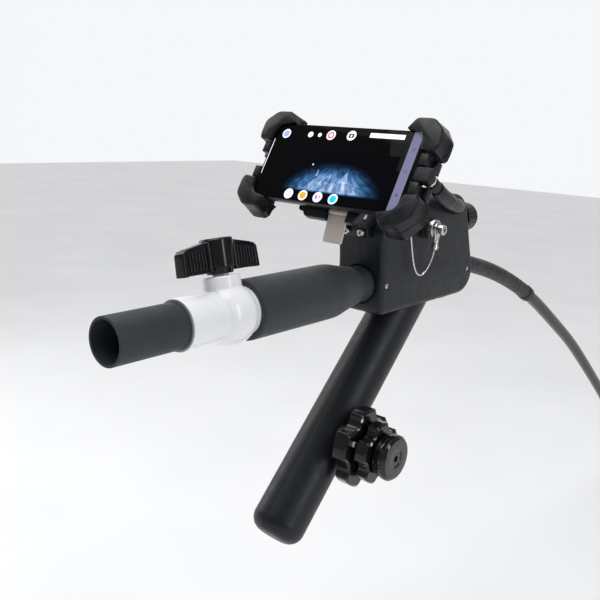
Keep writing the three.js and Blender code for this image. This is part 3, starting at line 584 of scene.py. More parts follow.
FINISHES = {
    "pipe": (surface("pipe_plastic", (0.030, 0.035, 0.041), 0.55, grain=900, stretch=(1, 0.03, 1),
                     depth=0.00006, strength=0.2, mottle=0.08, wear_and_glint=0.5), "pipe_grey"),
    "pvc": (surface("white_pvc", (0.86, 0.865, 0.89), 0.24, grain=420, depth=0.00003, strength=0.15,
                    spread=0.05, mottle=0.02, wear_and_glint=0.1, wear_and_glint_tone=1.03, coat=0.3), "pvc_white"),
    "ball": (surface("ball_plastic", (0.78, 0.78, 0.75), 0.3, grain=800, spread=0.05, mottle=0.03,
                     wear_and_glint=0.1, wear_and_glint_tone=1.03), "valve_inside"),
    "gloss": (surface("gloss_black", (0.007, 0.008, 0.0095), 0.14, grain=600, depth=0.00002, strength=0.15,
                      spread=0.07, mottle=0.15, wear_and_glint=0.25, wear_and_glint_tone=3), "black_gloss"),
    "foam": (surface("foam_rubber", (0.017, 0.021, 0.025), 0.62, grain=2600, depth=0.0001, strength=0.4,
                     spread=0.06, mottle=0.12, wear_and_glint=0.2, sheen=0.15, specular=0.4), "foam_grey"),
    "sheath": (surface("sheath_rubber", (0.015, 0.0165, 0.0195), 0.5, grain=1900, depth=0.00008, strength=0.3,
                       wear_and_glint=0.15), "hose_sheath"),
    "housing": (surface("housing_plastic", (0.0085, 0.0105, 0.0135), 0.42, grain=2100, depth=0.00008,
                        strength=0.28, spread=0.06, mottle=0.12, wear_and_glint=0.35, wear_and_glint_tone=2.6), "housing_black"),
    "holder": (surface("holder_plastic", (0.0065, 0.0075, 0.0095), 0.34, grain=1700, depth=0.00007,
                       strength=0.28, spread=0.08, mottle=0.12, wear_and_glint=0.4, wear_and_glint_tone=2.8), "holder_black"),
    "rubber": (surface("black_rubber", (0.007, 0.008, 0.0095), 0.46, grain=1400, depth=0.00007,
                       strength=0.3, wear_and_glint=0.2), "rubber_black"),
    "steel": (surface("turned_steel", (0.62, 0.62, 0.63), 0.26, 1.0, grain=1600, stretch=(0.1, 1, 1),
                      depth=0.00003, strength=0.3, spread=0.1, mottle=0.08, wear_and_glint=0.3, wear_and_glint_tone=1.3), "steel"),
    # the wheels' chamfers are painted six times lighter: a painted edge highlight
    "anodised": (surface("anodised_black", (0.010, 0.010, 0.012), 0.16, 0.35, grain=1300,
                         stretch=(0.15, 1, 1), depth=0.00002, strength=0.2, spread=0.05, mottle=0.1,
                         wear_and_glint=0.35, wear_and_glint_tone=6, coat=0.4), "anodised_black"),
    "board": (surface("solder_mask", (0.015, 0.10, 0.04), 0.35, grain=700), "board_green"),
    "battery": (surface("battery_wrap", (0.04, 0.11, 0.30), 0.3, grain=500), "battery_wrap"),
    "lever": (surface("lever_metal", (0.64, 0.575, 0.52), 0.38, 0.25, grain=1500, stretch=(1, 1, 0.06),
                      depth=0.00004, strength=0.35, spread=0.08, mottle=0.1, wear_and_glint_tone=1.6), "lever_metal"),
    "phone": (surface("phone_metal", (0.035, 0.036, 0.042), 0.3, 0.6, grain=1900, spread=0.04, mottle=0.04,
                      wear_and_glint_tone=1.3), "phone_frame"),
    "glass": (surface("dark_glass", (0.0035, 0.0035, 0.004), 0.035, grain=300, depth=0.00001, strength=0.03,
                      spread=0.015, mottle=0.1, wear_and_glint=0.0, specular=0.04), "screen_glass"),
    "hose": (surface("hose_jacket", (0.004, 0.0045, 0.005), 0.2, grain=700, depth=0.00004, strength=0.25,
                     spread=0.07, mottle=0.15, wear_and_glint=0.2), "hose_black"),
    # a grey ring painted as the shade on the valve socket's end face
    "rim_shade": (surface("socket_rim_shade", (0.30, 0.31, 0.33), 0.45, grain=900), "pvc_white"),
    "white_dot": (surface("white_paint", (0.85, 0.85, 0.86), 0.4, grain=1500), "anodised_black"),
    "picture": (duct_picture(), "screen_glass"),
}
GLOWS = {
    "picture_light": ((0.50, 0.62, 0.88), 0.8),
    "icon_white": ((0.85, 0.86, 0.90), 0.6),
    "icon_blue": ((0.30, 0.40, 0.78), 0.62),
    "icon_pink": ((0.80, 0.10, 0.22), 0.6),
    "icon_orange": ((0.85, 0.36, 0.03), 0.6),
    "icon_purple": ((0.32, 0.18, 0.62), 0.6),
    "icon_cyan": ((0.02, 0.50, 0.64), 0.6),
    "icon_dark": ((0.01, 0.01, 0.012), 0.0),
    "nav_bar": ((0.17, 0.165, 0.27), 0.5),
    "nav_mark": ((0.09, 0.085, 0.16), 0.5),
}
FINISHES.update({name: (glow(name, *look), "screen_glass") for name, look in GLOWS.items()})


# ---------------------------------------------------------------- hose and its tip


def sheathing(whole):
    """The sheath over the hose's start, with a moulded cuff at its front end."""
    sheath_start, sheath_end = HOSE_ROUTE[2][0], HOSE_ROUTE[SHEATH_FRONT][0]
    sheath_path = [p for p in whole if sheath_start <= p.y <= sheath_end]
    sheath = along_path(sheath_path, SHEATH_R, 40, HOSE_R + 0.3)
    sheath = piece("sheath_tube", sheath, "main", "sheath", ["hose_sheath"])
    cuff_path = [p for p in whole if sheath_end - 8 <= p.y <= sheath_end + 5]
    cuff = along_path(cuff_path, SHEATH_R + 0.7, 40, HOSE_R + 0.2)
    cuff = piece("sheath_cuff", cuff, "main", "rubber")
    return sheath, cuff


def bending_tip():
    """The ferrule, the link with two crossed axes, and the camera head with its lights."""

    def barrel(start, end, radius, grooves=()):
        profile = [(0, start), (radius, start, 0.8)]
        for place in grooves:
            profile += [(radius, place - 0.5, 0.15), (radius - 0.4, place - 0.25),
                        (radius - 0.4, place + 0.25), (radius, place + 0.5, 0.15)]
        profile += [(radius, end, 0.8), (0, end)]
        return turned(profile, 64)

    def plates(root, pivot, slabs, about_z=False):
        """Flat plates that reach from a barrel to a hinge axis."""
        toward = 1 if pivot > root else -1
        made = []
        for a, b in slabs:
            arc = [(pivot + toward * 3 * math.sin(t * math.pi / 8), -3 * math.cos(t * math.pi / 8))
                   for t in range(9)]
            shape = [(root, -3)] + arc + [(root, 3)]
            if toward < 0:
                shape.reverse()
            item = plate(shape, (a, b), 0.25, SIDE, 1, 2)
            if about_z:
                moved(item, turn(90, "Y"))
            made.append(item)
        return made

    ears, tongue = [(-5.5, -2.7), (2.7, 5.5)], [(-2.4, 2.4)]
    pitch_axis, yaw_axis, head_end = 9, 25, 62
    ferrule = join(barrel(0.3, 5, 7.9, (2.6,)), *plates(4, pitch_axis, ears))
    ferrule = piece("ferrule", ferrule, "main", "steel", ["hose_ferrule"], place=TIP)
    link = join(barrel(pitch_axis + 4, yaw_axis - 4, 7.4), *plates(pitch_axis + 5, pitch_axis, tongue),
                *plates(yaw_axis - 5, yaw_axis, ears, True))
    link = piece("bending_link", link, "tip_joint", "rubber", ["tip_link"])
    head = join(barrel(yaw_axis + 4, head_end, 7.7, (34, 36.5, 56)),
                *plates(yaw_axis + 5, yaw_axis, tongue, True))
    head = cut(head, rod(5, head_end - 1.4, head_end + 2))
    head = piece("camera_barrel", head, "camera", "steel", ["camera_head"])
    lens = turned([(0, head_end - 1.1), (4.7, head_end - 1.1, 0.2), (4.7, head_end - 0.5, 0.3),
                   (0, head_end - 0.2)], 48)
    lens = piece("lens_glass", lens, "camera", "glass", ["lens_window"])
    lights = []
    for k, (x, z) in enumerate(around(6, 3.3, 0.5)):
        lamp = shifted(rod(0.55, head_end - 0.4, head_end - 0.05, edge=0.1, segments=16), x, 0, z)
        lights.append(piece(f"tip_light_{k + 1}", lamp, "camera", "icon_white"))
    return ferrule, link, head, lens, *lights


def hose():
    route = [(0, y, z) for y, z in HOSE_ROUTE]
    whole = smooth_path(route, 4)
    exit_y, seam_y = 172, 160
    inner = [p for p in whole if p.y <= seam_y]
    free = [p for p in whole if p.y >= seam_y]
    piece("hose_inner_run", along_path(inner, HOSE_R, 24), "main", "hose")
    run = piece("guide_hose_run", along_path(free, HOSE_R, 40), "main", "hose", ["guide_hose"])

    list(sheathing(whole))
    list(bending_tip())


hose()


# ---------------------------------------------------------------- inlet pipe, ball valve and sleeve
PIPE_R, PIPE_BORE = 16.7, 14.7
VALVE_HALF, SOCKET_R, SOCKET_STOP, BULGE_R = 48.5, 18.8, 21.5, 23.8
NECK_R, NECK_TOP = 14.4, 28.5
PORT_R, CHAMBER_R, CHAMBER_HALF, STEM_R = 12.8, 17.7, 17, 5.9


def inlet_line():
    for name, start, end in (("inlet_pipe", PIPE_START, -189.5), ("grip_pipe", -144.5, 40)):
        pipe = ring(PIPE_R, PIPE_BORE, start, end, edge=0.5, segments=160)
        piece(f"{name}_tube", pipe, "main", "pipe", [name])


def valve_body():
    meet = math.acos((SOCKET_R + 0.1) / BULGE_R)
    bulge = []
    for k in range(33):
        angle = -meet + 2 * meet * k / 32
        bulge.append((BULGE_R * math.cos(angle), BULGE_R * math.sin(angle)))
    crease = bulge[-1][1] + 0.6
    rim, shoulder = SOCKET_R - 1.1, VALVE_HALF - 1.1
    outside = turned([(0, -VALVE_HALF), (rim, -VALVE_HALF, 0.3), (SOCKET_R, -shoulder, 0.5),
                      (SOCKET_R, -crease, 0.5), *bulge, (SOCKET_R, crease, 0.5),
                      (SOCKET_R, shoulder, 0.5), (rim, VALVE_HALF, 0.3), (0, VALVE_HALF)], 160)
    # the neck flares out onto the bulge
    fillet = 3.0
    rise = math.sqrt((BULGE_R + fillet) ** 2 - (NECK_R + fillet) ** 2)
    flare = []
    slope = math.atan2(rise, NECK_R + fillet)
    for k in range(13):
        angle = math.pi + slope * (1 - k / 12)
        flare.append((NECK_R + fillet + fillet * math.cos(angle), rise + fillet * math.sin(angle)))
    neck = turned([(0, 6), (flare[0][0], 6), *flare, (NECK_R, NECK_TOP - 0.9, 0.4),
                   (NECK_R - 0.9, NECK_TOP, 0.4), (0, NECK_TOP)], 128, axis="Z")
    past = VALVE_HALF + 5
    bore = PIPE_R + 0.3
    half = [(bore, past), (bore, SOCKET_STOP), (PORT_R, SOCKET_STOP), (PORT_R, CHAMBER_HALF),
            (CHAMBER_R, CHAMBER_HALF)]
    inside = turned([(0, past), *half, *[(r, -y) for r, y in reversed(half)], (0, -past)], 128)
    stem_bore = rod(STEM_R + 0.3, 10, NECK_TOP + 5, "Z")
    piece("valve_shell", cut(join(outside, neck), inside, stem_bore), "main", "pvc", ["valve_body"],
          smooth=40, place=VALVE)
    # a painted shade: a grey ring on the socket's end face, which falls in shade where the pipe enters
    rim_shade = ring(SOCKET_R - 0.35, PIPE_R + 0.05, -VALVE_HALF - 0.25, -VALVE_HALF + 0.6, edge=0.2)
    piece("socket_rim_shade", rim_shade, "main", "rim_shade", place=VALVE)


def foam_sleeve():
    sleeve = turned([
        (19.2, -150, 0.4), (22.4, -150, 1.0), (23.4, -148.8, 1.2), (23.4, -48, 6), (21.9, -40.5, 4),
        (18, -20, 3),
        (17.4, -16, 0.8), (17, -16, 0.3), (17, -115.5), (19.2, -117.5),
    ], 160, 8)
    piece("foam_sleeve", sleeve, "main", "foam", ["grip_sleeve"], smooth=40)


def valve_key():
    foot = 30
    wing = plate([(-38, foot + 1.6, 2), (38, foot + 1.6, 2), (37, 47.5, 3.5), (33, 50.4, 3), (12, 54.2, 2),
                  (-12, 54.2, 2), (-33, 50.4, 3), (-37, 47.5, 3.5)], (-4.2, 4.2), 1.0, SIDE, 5, 4)
    hub = turned([(0, foot), (9.8, foot, 0.3), (10.4, 34.5, 0.4), (12.1, 35, 0.5), (12.4, 54.4, 0.4),
                  (11.3, 56, 0.8), (8.6, 56, 0.5), (8.2, 55, 0.4), (0, 55)], 96, axis="Z")
    tools = [hub]
    for side in (-1, 1):
        # a raised post ends each wing, and a rounded rib stands beside the hub
        tools.append(plate([(side * 33.6, foot + 1.2, 1), (side * 38, foot + 1.2, 1), (side * 37.2, 47.6, 2),
                            (side * 33.6, 50.2, 1)][::side], (-5.1, 5.1), 1.2, SIDE, 4, 4))
        for face in (-1, 1):
            tools.append(shifted(rod(2.0, foot + 2, 53.6, "Z", 0.8, 24), face * 4.4, side * 12.6))
            for k in range(6):
                y = side * (16.4 + 2.95 * k)
                tools.append(shifted(rod(0.95, foot + 4.6, 49.4 - 0.5 * k, "Z", 0.45, 16), face * 4.2, y))
    key = join(wing, *tools)
    slots = [box((-14, 14), (-1.0, 1.0), (foot - 1, foot + 4.2), 0.1, 0.1)]
    key = cut(key, rod(STEM_R + 0.3, foot - 5, 50.3, "Z"), *slots)
    piece("valve_grip", key, "valve_key", "gloss", ["valve_handle"], smooth=38)


inlet_line()
valve_body()
foam_sleeve()
valve_key()


# ---------------------------------------------------------------- housing and handle
HOUSING_OUTLINE = [(0, -26, 9), (0, 22, 14), (-5, 52, 9), (42, 77.5, 16), (143, 77.5, 20), (175, -8, 16),
                   (160, -26, 14)]
HOUSING_HALF = 25
HANDLE_R, HANDLE_WALL, HANDLE_LENGTH, HANDLE_ROUND = 23.6, 2.8, 262, 13
BOSS_FACE = 28.5
REAR_SCREW = (12, 46)
GRIP_SCREW_AT = 246
SIDE_SCREWS = {"pipe_screw": (9, 1, PIPE_R), "hose_screw": (161, -1, 12)}
FRONT_CAP = (7, 50)


def handle_body(radius, start, end, round_end, segments=128):
    profile = [(0, start), (radius, start)]
    for k in range(13):
        angle = k / 12 * math.pi / 2
        profile.append((radius - round_end + round_end * math.cos(angle),
                        end - round_end + round_end * math.sin(angle)))
    body = turned([*profile, (0, end)], segments)
    return moved(body, TOOL.inverted() @ HANDLE)


def along_handle(along):
    """A point of the handle's axis in the tool's frame: y and z."""
    point = TOOL.inverted() @ HANDLE @ Vector((0, along, 0))
    return point.y, point.z


def housing():
    case = plate(HOUSING_OUTLINE, (-HOUSING_HALF, HOUSING_HALF), 5, SIDE, 12, 8)
    outer = join(case, handle_body(HANDLE_R, -34, HANDLE_LENGTH, HANDLE_ROUND))
    cavity = plate(inset(HOUSING_OUTLINE, 3), (3 - HOUSING_HALF, HOUSING_HALF - 3), 3, SIDE, 6, 3)
    hollow = join(cavity, handle_body(HANDLE_R - HANDLE_WALL, -20, HANDLE_LENGTH - HANDLE_WALL,
                                      HANDLE_ROUND - HANDLE_WALL, 64))
    screws = [REAR_SCREW, along_handle(GRIP_SCREW_AT)]
    posts = [shifted(rod(4, -30, 30, "X"), 0, y, z) for y, z in screws]
    posts = [combine(post, [outer], "INTERSECT", keep=True) for post in posts]
    outer = eased(outer, 0.9, 30, 3)
    body = join(cut(outer, hollow), *posts)
    pipe_hole = rod(PIPE_R + 0.3, -30, 20, edge=0)
    pipe_lip = turned([(0, -6), (PIPE_R + 1.6, -6), (PIPE_R + 1.6, -0.2, 0.3), (PIPE_R + 0.3, 1.2),
                       (0, 1.2)])
    hose_hole = rod(12.3, 150, 190, edge=0)
    socket_hole = shifted(rod(8.8, 140, 170, edge=0), FRONT_CAP[0], 0, FRONT_CAP[1])
    body = cut(body, pipe_hole, pipe_lip, hose_hole, socket_hole)

    far = 400
    seam = 0.15
    left = body.copy()
    left.data = body.data.copy()
    bpy.context.scene.collection.objects.link(left)
    right = cut(body, box((-far, seam), (-far, far), (-far, far), 0, 0))
    left = cut(left, box((-seam, far), (-far, far), (-far, far), 0, 0))
    axle = TOOL.inverted() @ Vector(JOINTS["large_wheel_turn"]["pos_m"])
    boss = turned([(0, 15), (15.5, 15), (15.5, BOSS_FACE - 1.2, 0.4), (14.3, BOSS_FACE, 0.4),
                   (0, BOSS_FACE)], 96, axis="X")
    shifted(boss, 0, axle.y, axle.z)
    boss = cut(boss, handle_body(HANDLE_R - HANDLE_WALL, 80, 240, HANDLE_ROUND - HANDLE_WALL, 64))
    right = join(right, boss)
    tools = [shifted(rod(7.3, 0, BOSS_FACE + 5, "X"), 0, axle.y, axle.z)]
    tools += [shifted(rod(1.8, -5, 14.5, "X"), 0, y, z) for y, z in screws]
    for y, z, _ in SIDE_SCREWS.values():
        recess = [(0, HOUSING_HALF - 2.1), (3.0, HOUSING_HALF - 2.1), (3.0, HOUSING_HALF - 0.4, 0.2),
                  (3.5, HOUSING_HALF + 0.1), (3.5, 30), (0, 30)]
        tools.append(shifted(rod(1.7, 15, 30, "X"), 0, y, z))
        tools.append(shifted(turned(recess, 48, axis="X"), 0, y, z))
    right = cut(right, *tools)
    heads = [shifted(rod(1.8, -30, 5, "X"), 0, y, z) for y, z in screws]
    heads += [shifted(rod(3.4, -30, -19.8, "X"), 0, y, z) for y, z in screws]
    left = cut(left, *heads)
    piece("housing_shell_right", right, "main", "housing", ["housing_right"], smooth=28)
    piece("housing_shell_left", left, "main", "housing", ["housing_left"], smooth=28)


def side_screws():
    for name, (y, z, depth) in SIDE_SCREWS.items():
        face = HOUSING_HALF - 0.3
        body = turned([(0, depth + 0.3), (1.3, depth + 0.3), (1.3, face - 1.4), (2.6, face - 1.4, 0.3),
                       (2.6, face - 0.3, 0.4), (1.6, face, 0.4), (0, face)], 32, axis="X")
        cross = [box((face - 0.9, face + 1), (-1.7, 1.7), (-0.38, 0.38), 0.05, 0.05),
                 box((face - 0.9, face + 1), (-0.38, 0.38), (-1.7, 1.7), 0.05, 0.05)]
        piece(f"{name}_head", shifted(cut(body, *cross), 0, y, z), "main", "steel", [name])


def housing_trim():
    foot = box((-12, 12), (128, 146), (-31, -26.1), 1.2, 2.5)
    grooves = [box((-13, 13), (131.4 + 3.4 * k, 132.6 + 3.4 * k), (-32, -30.3), 0.1, 0.1) for k in range(4)]
    piece("rubber_foot", cut(foot, *grooves), "main", "rubber", ["front_foot"])
    bushing = turned([(9.4, 148, 0.3), (14.5, 148, 0.4), (14.5, 151, 0.4), (12, 151), (12, 171.4, 0.5),
                      (11, 172.5, 0.5), (9.7, 172.5, 0.3)], 96)
    piece("hose_gland", bushing, "main", "gloss", ["hose_bushing"])


housing()
side_screws()
housing_trim()


# ---------------------------------------------------------------- steering wheels


LOBES = 5


def lobed(inner, outer, radius, lobes, scoop, bore, chamfer):
    """A wheel about X with round scoops between its lobes and chamfered faces."""
    count = 360
    reach = radius + scoop * 0.35

    def edge_at(angle, size):
        best = size
        for k in range(lobes):
            away = (angle - (k + 0.5) / lobes * 2 * math.pi + math.pi) % (2 * math.pi) - math.pi
            grown = scoop + radius - size
            off = reach * math.sin(away)
            if abs(away) < math.pi / 2 and abs(off) < grown:
                best = min(best, reach * math.cos(away) - math.sqrt(grown ** 2 - off ** 2))
        return best

    directions = around(count, 1)

    def loop(x, shrink):
        raw = [edge_at(k / count * 2 * math.pi, radius - shrink) for k in range(count)]
        soft = [sum(raw[(k + j) % count] for j in range(-2, 3)) / 5 for k in range(count)]
        return [(x, r * y, r * z) for r, (y, z) in zip(soft, directions)]

    def round_loop(x, size):
        return [(x, size * y, size * z) for y, z in directions]

    face = radius * 0.52
    loops = [round_loop(inner, bore), loop(inner, chamfer), loop(inner + 0.15, chamfer - 0.2),
             loop(inner + chamfer - 0.15, 0.1), loop(inner + chamfer, 0), loop(outer - chamfer, 0),
             loop(outer - chamfer + 0.15, 0.1), loop(outer - 0.15, chamfer - 0.2), loop(outer, chamfer),
             round_loop(outer, face), round_loop(outer, bore)]
    return lofted(loops, closed=True)


def steering():
    large = lobed(30, 44, 35, LOBES, 11, 7.3, 2.0)
    piece("large_wheel_knob", large, "large_steering_wheel", "anodised", ["large_wheel"], smooth=24)
    small = lobed(47.5, 59, 27, LOBES, 8.5, 5.2, 1.8)
    piece("small_wheel_knob", small, "small_steering_wheel", "anodised", ["small_wheel"], smooth=24)
    outer_shaft = ring(7, 5.2, -1, 44, "X", 0.3, 64)
    piece("large_wheel_spindle", outer_shaft, "large_steering_wheel", "steel", ["large_wheel_shaft"])
    inner_shaft = rod(4.9, -16, 59, "X", 0.4, 64)
    piece("small_wheel_spindle", inner_shaft, "small_steering_wheel", "steel", ["small_wheel_shaft"])


def brake_knob():
    knob = turned([(0, 60.5), (17.2, 60.5, 0.3), (18, 61.3, 0.3), (18, 63.2, 0.8), (19.6, 66.6, 0.8),
                   (20, 68, 0.6), (20, 71.6, 0.5), (17.6, 74, 0.6), (8, 74, 0.6), (7, 73.2, 0.5),
                   (0, 73.2)], 128, axis="X")
    notches = [shifted(rod(0.4, 68.4, 71.4, "X", 0.1, 12), 0, y, z) for y, z in around(36, 20.1)]
    knob = cut(knob, *notches)
    knob = cut(knob, plate(hexagon(3.2), (71.2, 75), 0.05, SIDE, 1, 1))
    piece("brake_knob_turned", knob, "brake", "anodised", ["brake_knob"], smooth=28)


def wheel_marks():
    """Painted index dots on a lobe of each wheel, and the large wheel's clamp screw."""
    for size, face, radius, y, z in (("large", 44.05, 1.9, -11.6, 29), ("small", 59.05, 1.6, -17.6, 14.2)):
        edge = face + 0.2
        dot = turned([(0, face), (radius, face, 0.1), (radius, edge, 0.1), (0, edge)], 32, axis="X")
        piece(f"{size}_wheel_dot", shifted(dot, 0, y, z), f"{size}_steering_wheel", "white_dot")
    head = turned([(0, 44.1), (2.6, 44.1), (2.6, 46.6, 0.3), (2.2, 47.0, 0.2), (0, 47.0)], 32, axis="X")
    head = shifted(cut(head, plate(hexagon(1.2), (45.6, 48), 0.02, SIDE, 1, 1)), 0, -24, 12)
    piece("large_wheel_clamp_screw", head, "large_steering_wheel", "steel")


steering()
brake_knob()
wheel_marks()


# ---------------------------------------------------------------- phone
PHONE_HALF = (75.6, 35.95)
PHONE_DEPTH = 8.6


def rounded_rectangle(half_x, half_z, corner, x=0, z=0):
    turns = ((-1, -1), (1, -1), (1, 1), (-1, 1))
    return [(x + half_x * across, z + half_z * up, corner) for across, up in turns]


def patch(name, corners, depth, finish, steps=8, thick=0.04):
    """A thin lit area at the glass, facing the user."""
    item = plate(corners, (depth, depth + thick), 0.01, FACE, steps, 1)
    return piece(name, item, "display", finish)


def disc(name, x, z, radius, depth, finish, inner=0):
    if inner:
        item = ring(radius, inner, depth, depth + 0.03, edge=0.005, segments=48)
    else:
        item = rod(radius, depth, depth + 0.03, edge=0.005, segments=48)
    return piece(name, shifted(item, x, 0, z), "display", finish)


def phone():
    half_x, half_z = PHONE_HALF
    keys = (("power_key", "power_button", (18, 28)), ("volume_key", "volume_rocker", (-12, 8)))
    body = plate(rounded_rectangle(half_x, half_z, 9), (0.9, PHONE_DEPTH), 2.2, FACE, 12, 6)
    pockets = [box((start - 0.3, end + 0.3), (3, 6.2), (half_z - 1.4, half_z + 2), 0.2, 0.2)
               for _, _, (start, end) in keys]
    holes = [shifted(rod(0.55, 0, 2.2, "Z", 0.05, 16), -58 + 2.2 * k, 4.6, -half_z - 1) for k in range(6)]
    lenses = [shifted(rod(5.2, PHONE_DEPTH - 0.5, PHONE_DEPTH + 0.4, edge=0.1), -62, 0, 22 - 13 * k)
              for k in range(2)]
    body = cut(body, *pockets, *holes, *lenses)
    piece("phone_case", body, "display", "phone", ["phone_body"])
    for k in range(2):
        eye = turned([(0, PHONE_DEPTH - 0.4), (4.9, PHONE_DEPTH - 0.4, 0.2), (4.9, PHONE_DEPTH - 0.1, 0.1),
                      (0, PHONE_DEPTH - 0.1)], 48)
        piece(f"phone_back_lens_{k + 1}", shifted(eye, -62, 0, 22 - 13 * k), "display", "glass")
    # a painted highlight: a glowing white strip stands in for the reflection along the glass's left edge
    shine = box((-73.4, -72.7), (-0.02, 0.2), (-14, 20), 0.05, 0.05)
    piece("phone_edge_highlight", shine, "display", "icon_white")
    glass = plate(rounded_rectangle(half_x - 0.8, half_z - 0.8, 8.4), (0, 0.6), 0.3, FACE, 12, 3)
    piece("phone_glass", glass, "display", "glass", ["phone_screen"])
    for name, node, span in keys:
        key = box(span, (3.3, 5.9), (half_z - 0.7, half_z + 0.5), 0.3, 1.2)
        piece(f"{name}_cap", key, name, "phone", [node])


def screen():
    """The lit parts of the display, a hair above the glass."""
    front = -0.05
    columns, rows = 40, 24
    left, right, low, high = -52, 60, -33.6, 12
    vertices, faces = [], []
    for j in range(rows + 1):
        for i in range(columns + 1):
            vertices.append((left + (right - left) * i / columns, front, low + (high - low) * j / rows))
    for j in range(rows):
        for i in range(columns):
            k = j * (columns + 1) + i
            faces.append((k, k + 1, k + columns + 2, k + columns + 1))
    item = mesh_object("picture", vertices, faces)
    layer = item.data.uv_layers.new(name="picture")
    for loop in item.data.loops:
        spot = item.data.vertices[loop.vertex_index].co
        layer.data[loop.index].uv = (spot.x / 100, spot.z / 100)
    piece("camera_picture", item, "display", "picture")

    patch("picture_bright_wedge", [(11, -15.5), (20, -15.5), (16.6, -5.2)], front, "picture_light", 2)
    post = [(-14.0, -11.5, 0.3), (-12.0, -11.5, 0.3), (-12.4, -5.6, 0.3), (-13.8, -5.6, 0.3)]
    patch("picture_post", post, front, "picture_light", 3)
    disc("picture_spot", -20.7, -1.4, 0.8, front - 0.02, "picture_light")
    nav = [(64.3, -34.2, 0.5), (72.6, -34.2, 3), (72.6, 34.2, 3), (64.3, 34.2, 0.5)]
    patch("screen_nav_bar", nav, front, "nav_bar")
    marks = front - 0.03
    disc("nav_home", 68.4, 0, 1.5, marks, "nav_mark", 1.1)
    patch("nav_square", rounded_rectangle(1.2, 1.2, 0.3, 68.4, -20), marks, "nav_mark", thick=0.02)
    patch("nav_back", [(67.2, 19.0), (69.6, 18.0), (69.6, 20.4)], marks, "nav_mark", 1, 0.02)
    patch("screen_label", rounded_rectangle(16.5, 2.1, 0.4, 40.7, 29), front, "icon_white")

    top = -0.03 + marks
    icons = (
        ("profile", -62.4, 25.5, 4.4, front, "white"), ("profile_inner", -62.4, 25.5, 3.1, marks, "blue"),
        ("info", -35.9, 26.1, 2.7, front, "white"), ("dot", -26.1, 26.2, 1.9, front, "white"),
        ("record", -14.3, 26.7, 4.5, front, "white"), ("record_ring", -14.3, 26.7, 3.1, marks, "pink", 1.7),
        ("shutter", 6.4, 27.5, 4.5, front, "white"), ("shutter_eye", 6.4, 27.2, 1.0, top, "white"),
    )
    row, base, mark = -29.9, front - 0.02, marks - 0.02
    low_icons = tuple((f"low_{k + 1}", x, row, 4.6, base, "white") for k, x in
                      enumerate((-34.1, -18.9, -3.3, 12.3)))
    low_marks = (
        ("low_1_ring", -34.1, row, 2.4, mark, "purple", 1.9), ("low_2_fill", -18.9, row, 3.2, mark, "orange"),
        ("low_3_dot", -1.6, -29.6, 0.9, mark, "pink"), ("low_4_fill", 12.3, row, 3.2, mark, "cyan"),
    )
    for name, x, z, radius, depth, tint, *hole in icons + low_icons + low_marks:
        disc(f"icon_{name}", x, z, radius, depth, f"icon_{tint}", *hole)
    patch("icon_shutter_body", rounded_rectangle(2.6, 1.8, 0.5, 6.4, 27.3), marks, "icon_dark", thick=0.02)
    patch("icon_low_3_left", rounded_rectangle(1.1, 1.8, 0.4, -4.7, row), mark, "icon_purple", thick=0.02)


phone()
screen()


# ---------------------------------------------------------------- phone holder


def claw(side_x, side_z):
    """One corner claw, drawn for the upper right corner."""
    edge_x, edge_z = PHONE_HALF[0] + 0.6, PHONE_HALF[1] + 0.5
    far_x, far_z = 90, 46
    leg_x, leg_z = 57, 19
    wall = [(leg_x, edge_z, 1), (edge_x, edge_z, 0.6), (edge_x, leg_z, 1), (far_x - 2, leg_z - 1, 2),
            (far_x, leg_z + 4, 2), (far_x, far_z - 10, 4), (far_x - 11, far_z, 4), (leg_x + 6, far_z, 3)]
    lip = [(leg_x, edge_z - 0.2, 1), (edge_x - 6, edge_z - 3.2, 3), (edge_x - 3, edge_z - 7, 3),
           (edge_x - 0.2, leg_z, 1), (far_x - 2, leg_z - 1, 2), (far_x, leg_z + 4, 2), (far_x, far_z - 10, 4),
           (far_x - 11, far_z, 4), (leg_x + 6, far_z, 3)]
    heel = [(leg_x + 4, 27, 1), (edge_x - 6, 27, 2), (edge_x - 4, leg_z, 1), (far_x, leg_z, 2),
            (far_x, far_z - 10, 4), (far_x - 11, far_z, 4), (leg_x + 2, far_z - 2, 3)]
    body = join(plate(wall, (-1.5, 17.6), 0.5, FACE, 4, 3),
                plate(lip, (-3.4, 3), 1.7, FACE, 4, 1, chamfer=True),
                plate(heel, (9.2, 18), 1.6, FACE, 4, 1, chamfer=True))
    phone_room = rounded_rectangle(PHONE_HALF[0] + 0.3, PHONE_HALF[1] + 0.3, 9)
    body = cut(body, plate(phone_room, (-0.3, 9), 0.05, FACE))

    # a step separates the front band from the grip behind it, and shallow ribs cross the corner
    def rims(depth, span):
        side = box((far_x - depth, far_x + 6), span, (10, 60), 0.1, 0.1)
        top = box((40, 100), span, (far_z - depth, far_z + 6), 0.1, 0.1)
        return [side, top]

    steps = rims(0.7, (7.4, 8.2))
    for k in range(3):
        rib = 10.4 + 2.4 * k
        steps += rims(0.9, (rib, rib + 1.1))
    band = plate([(0, -15), (9, -15), (9, 15), (0, 15)], (7.4, 8.2), 0.1, FACE, 1, 1)
    steps.append(moved(band, Matrix.Translation((far_x - 6.6, 0, far_z - 6.6)) @ turn(-45, "Y")))
    body = cut(body, *steps)
    flare_side, flare_top, edge_zone = 0.5, 3, 3.2
    for vertex in body.data.vertices:
        depth = max(vertex.co.y, 0) / 18
        if vertex.co.x > far_x - edge_zone:
            vertex.co.x += flare_side * depth
        if vertex.co.z > far_z - edge_zone:
            vertex.co.z += flare_top * depth
    return mirrored(body, side_x, side_z)


ARM_Y = (11.6, 15.4)
BAR_X, BAR_Y, BAR_Z = (79, 87.5), (9.6, 17), (-16.8, 16.8)


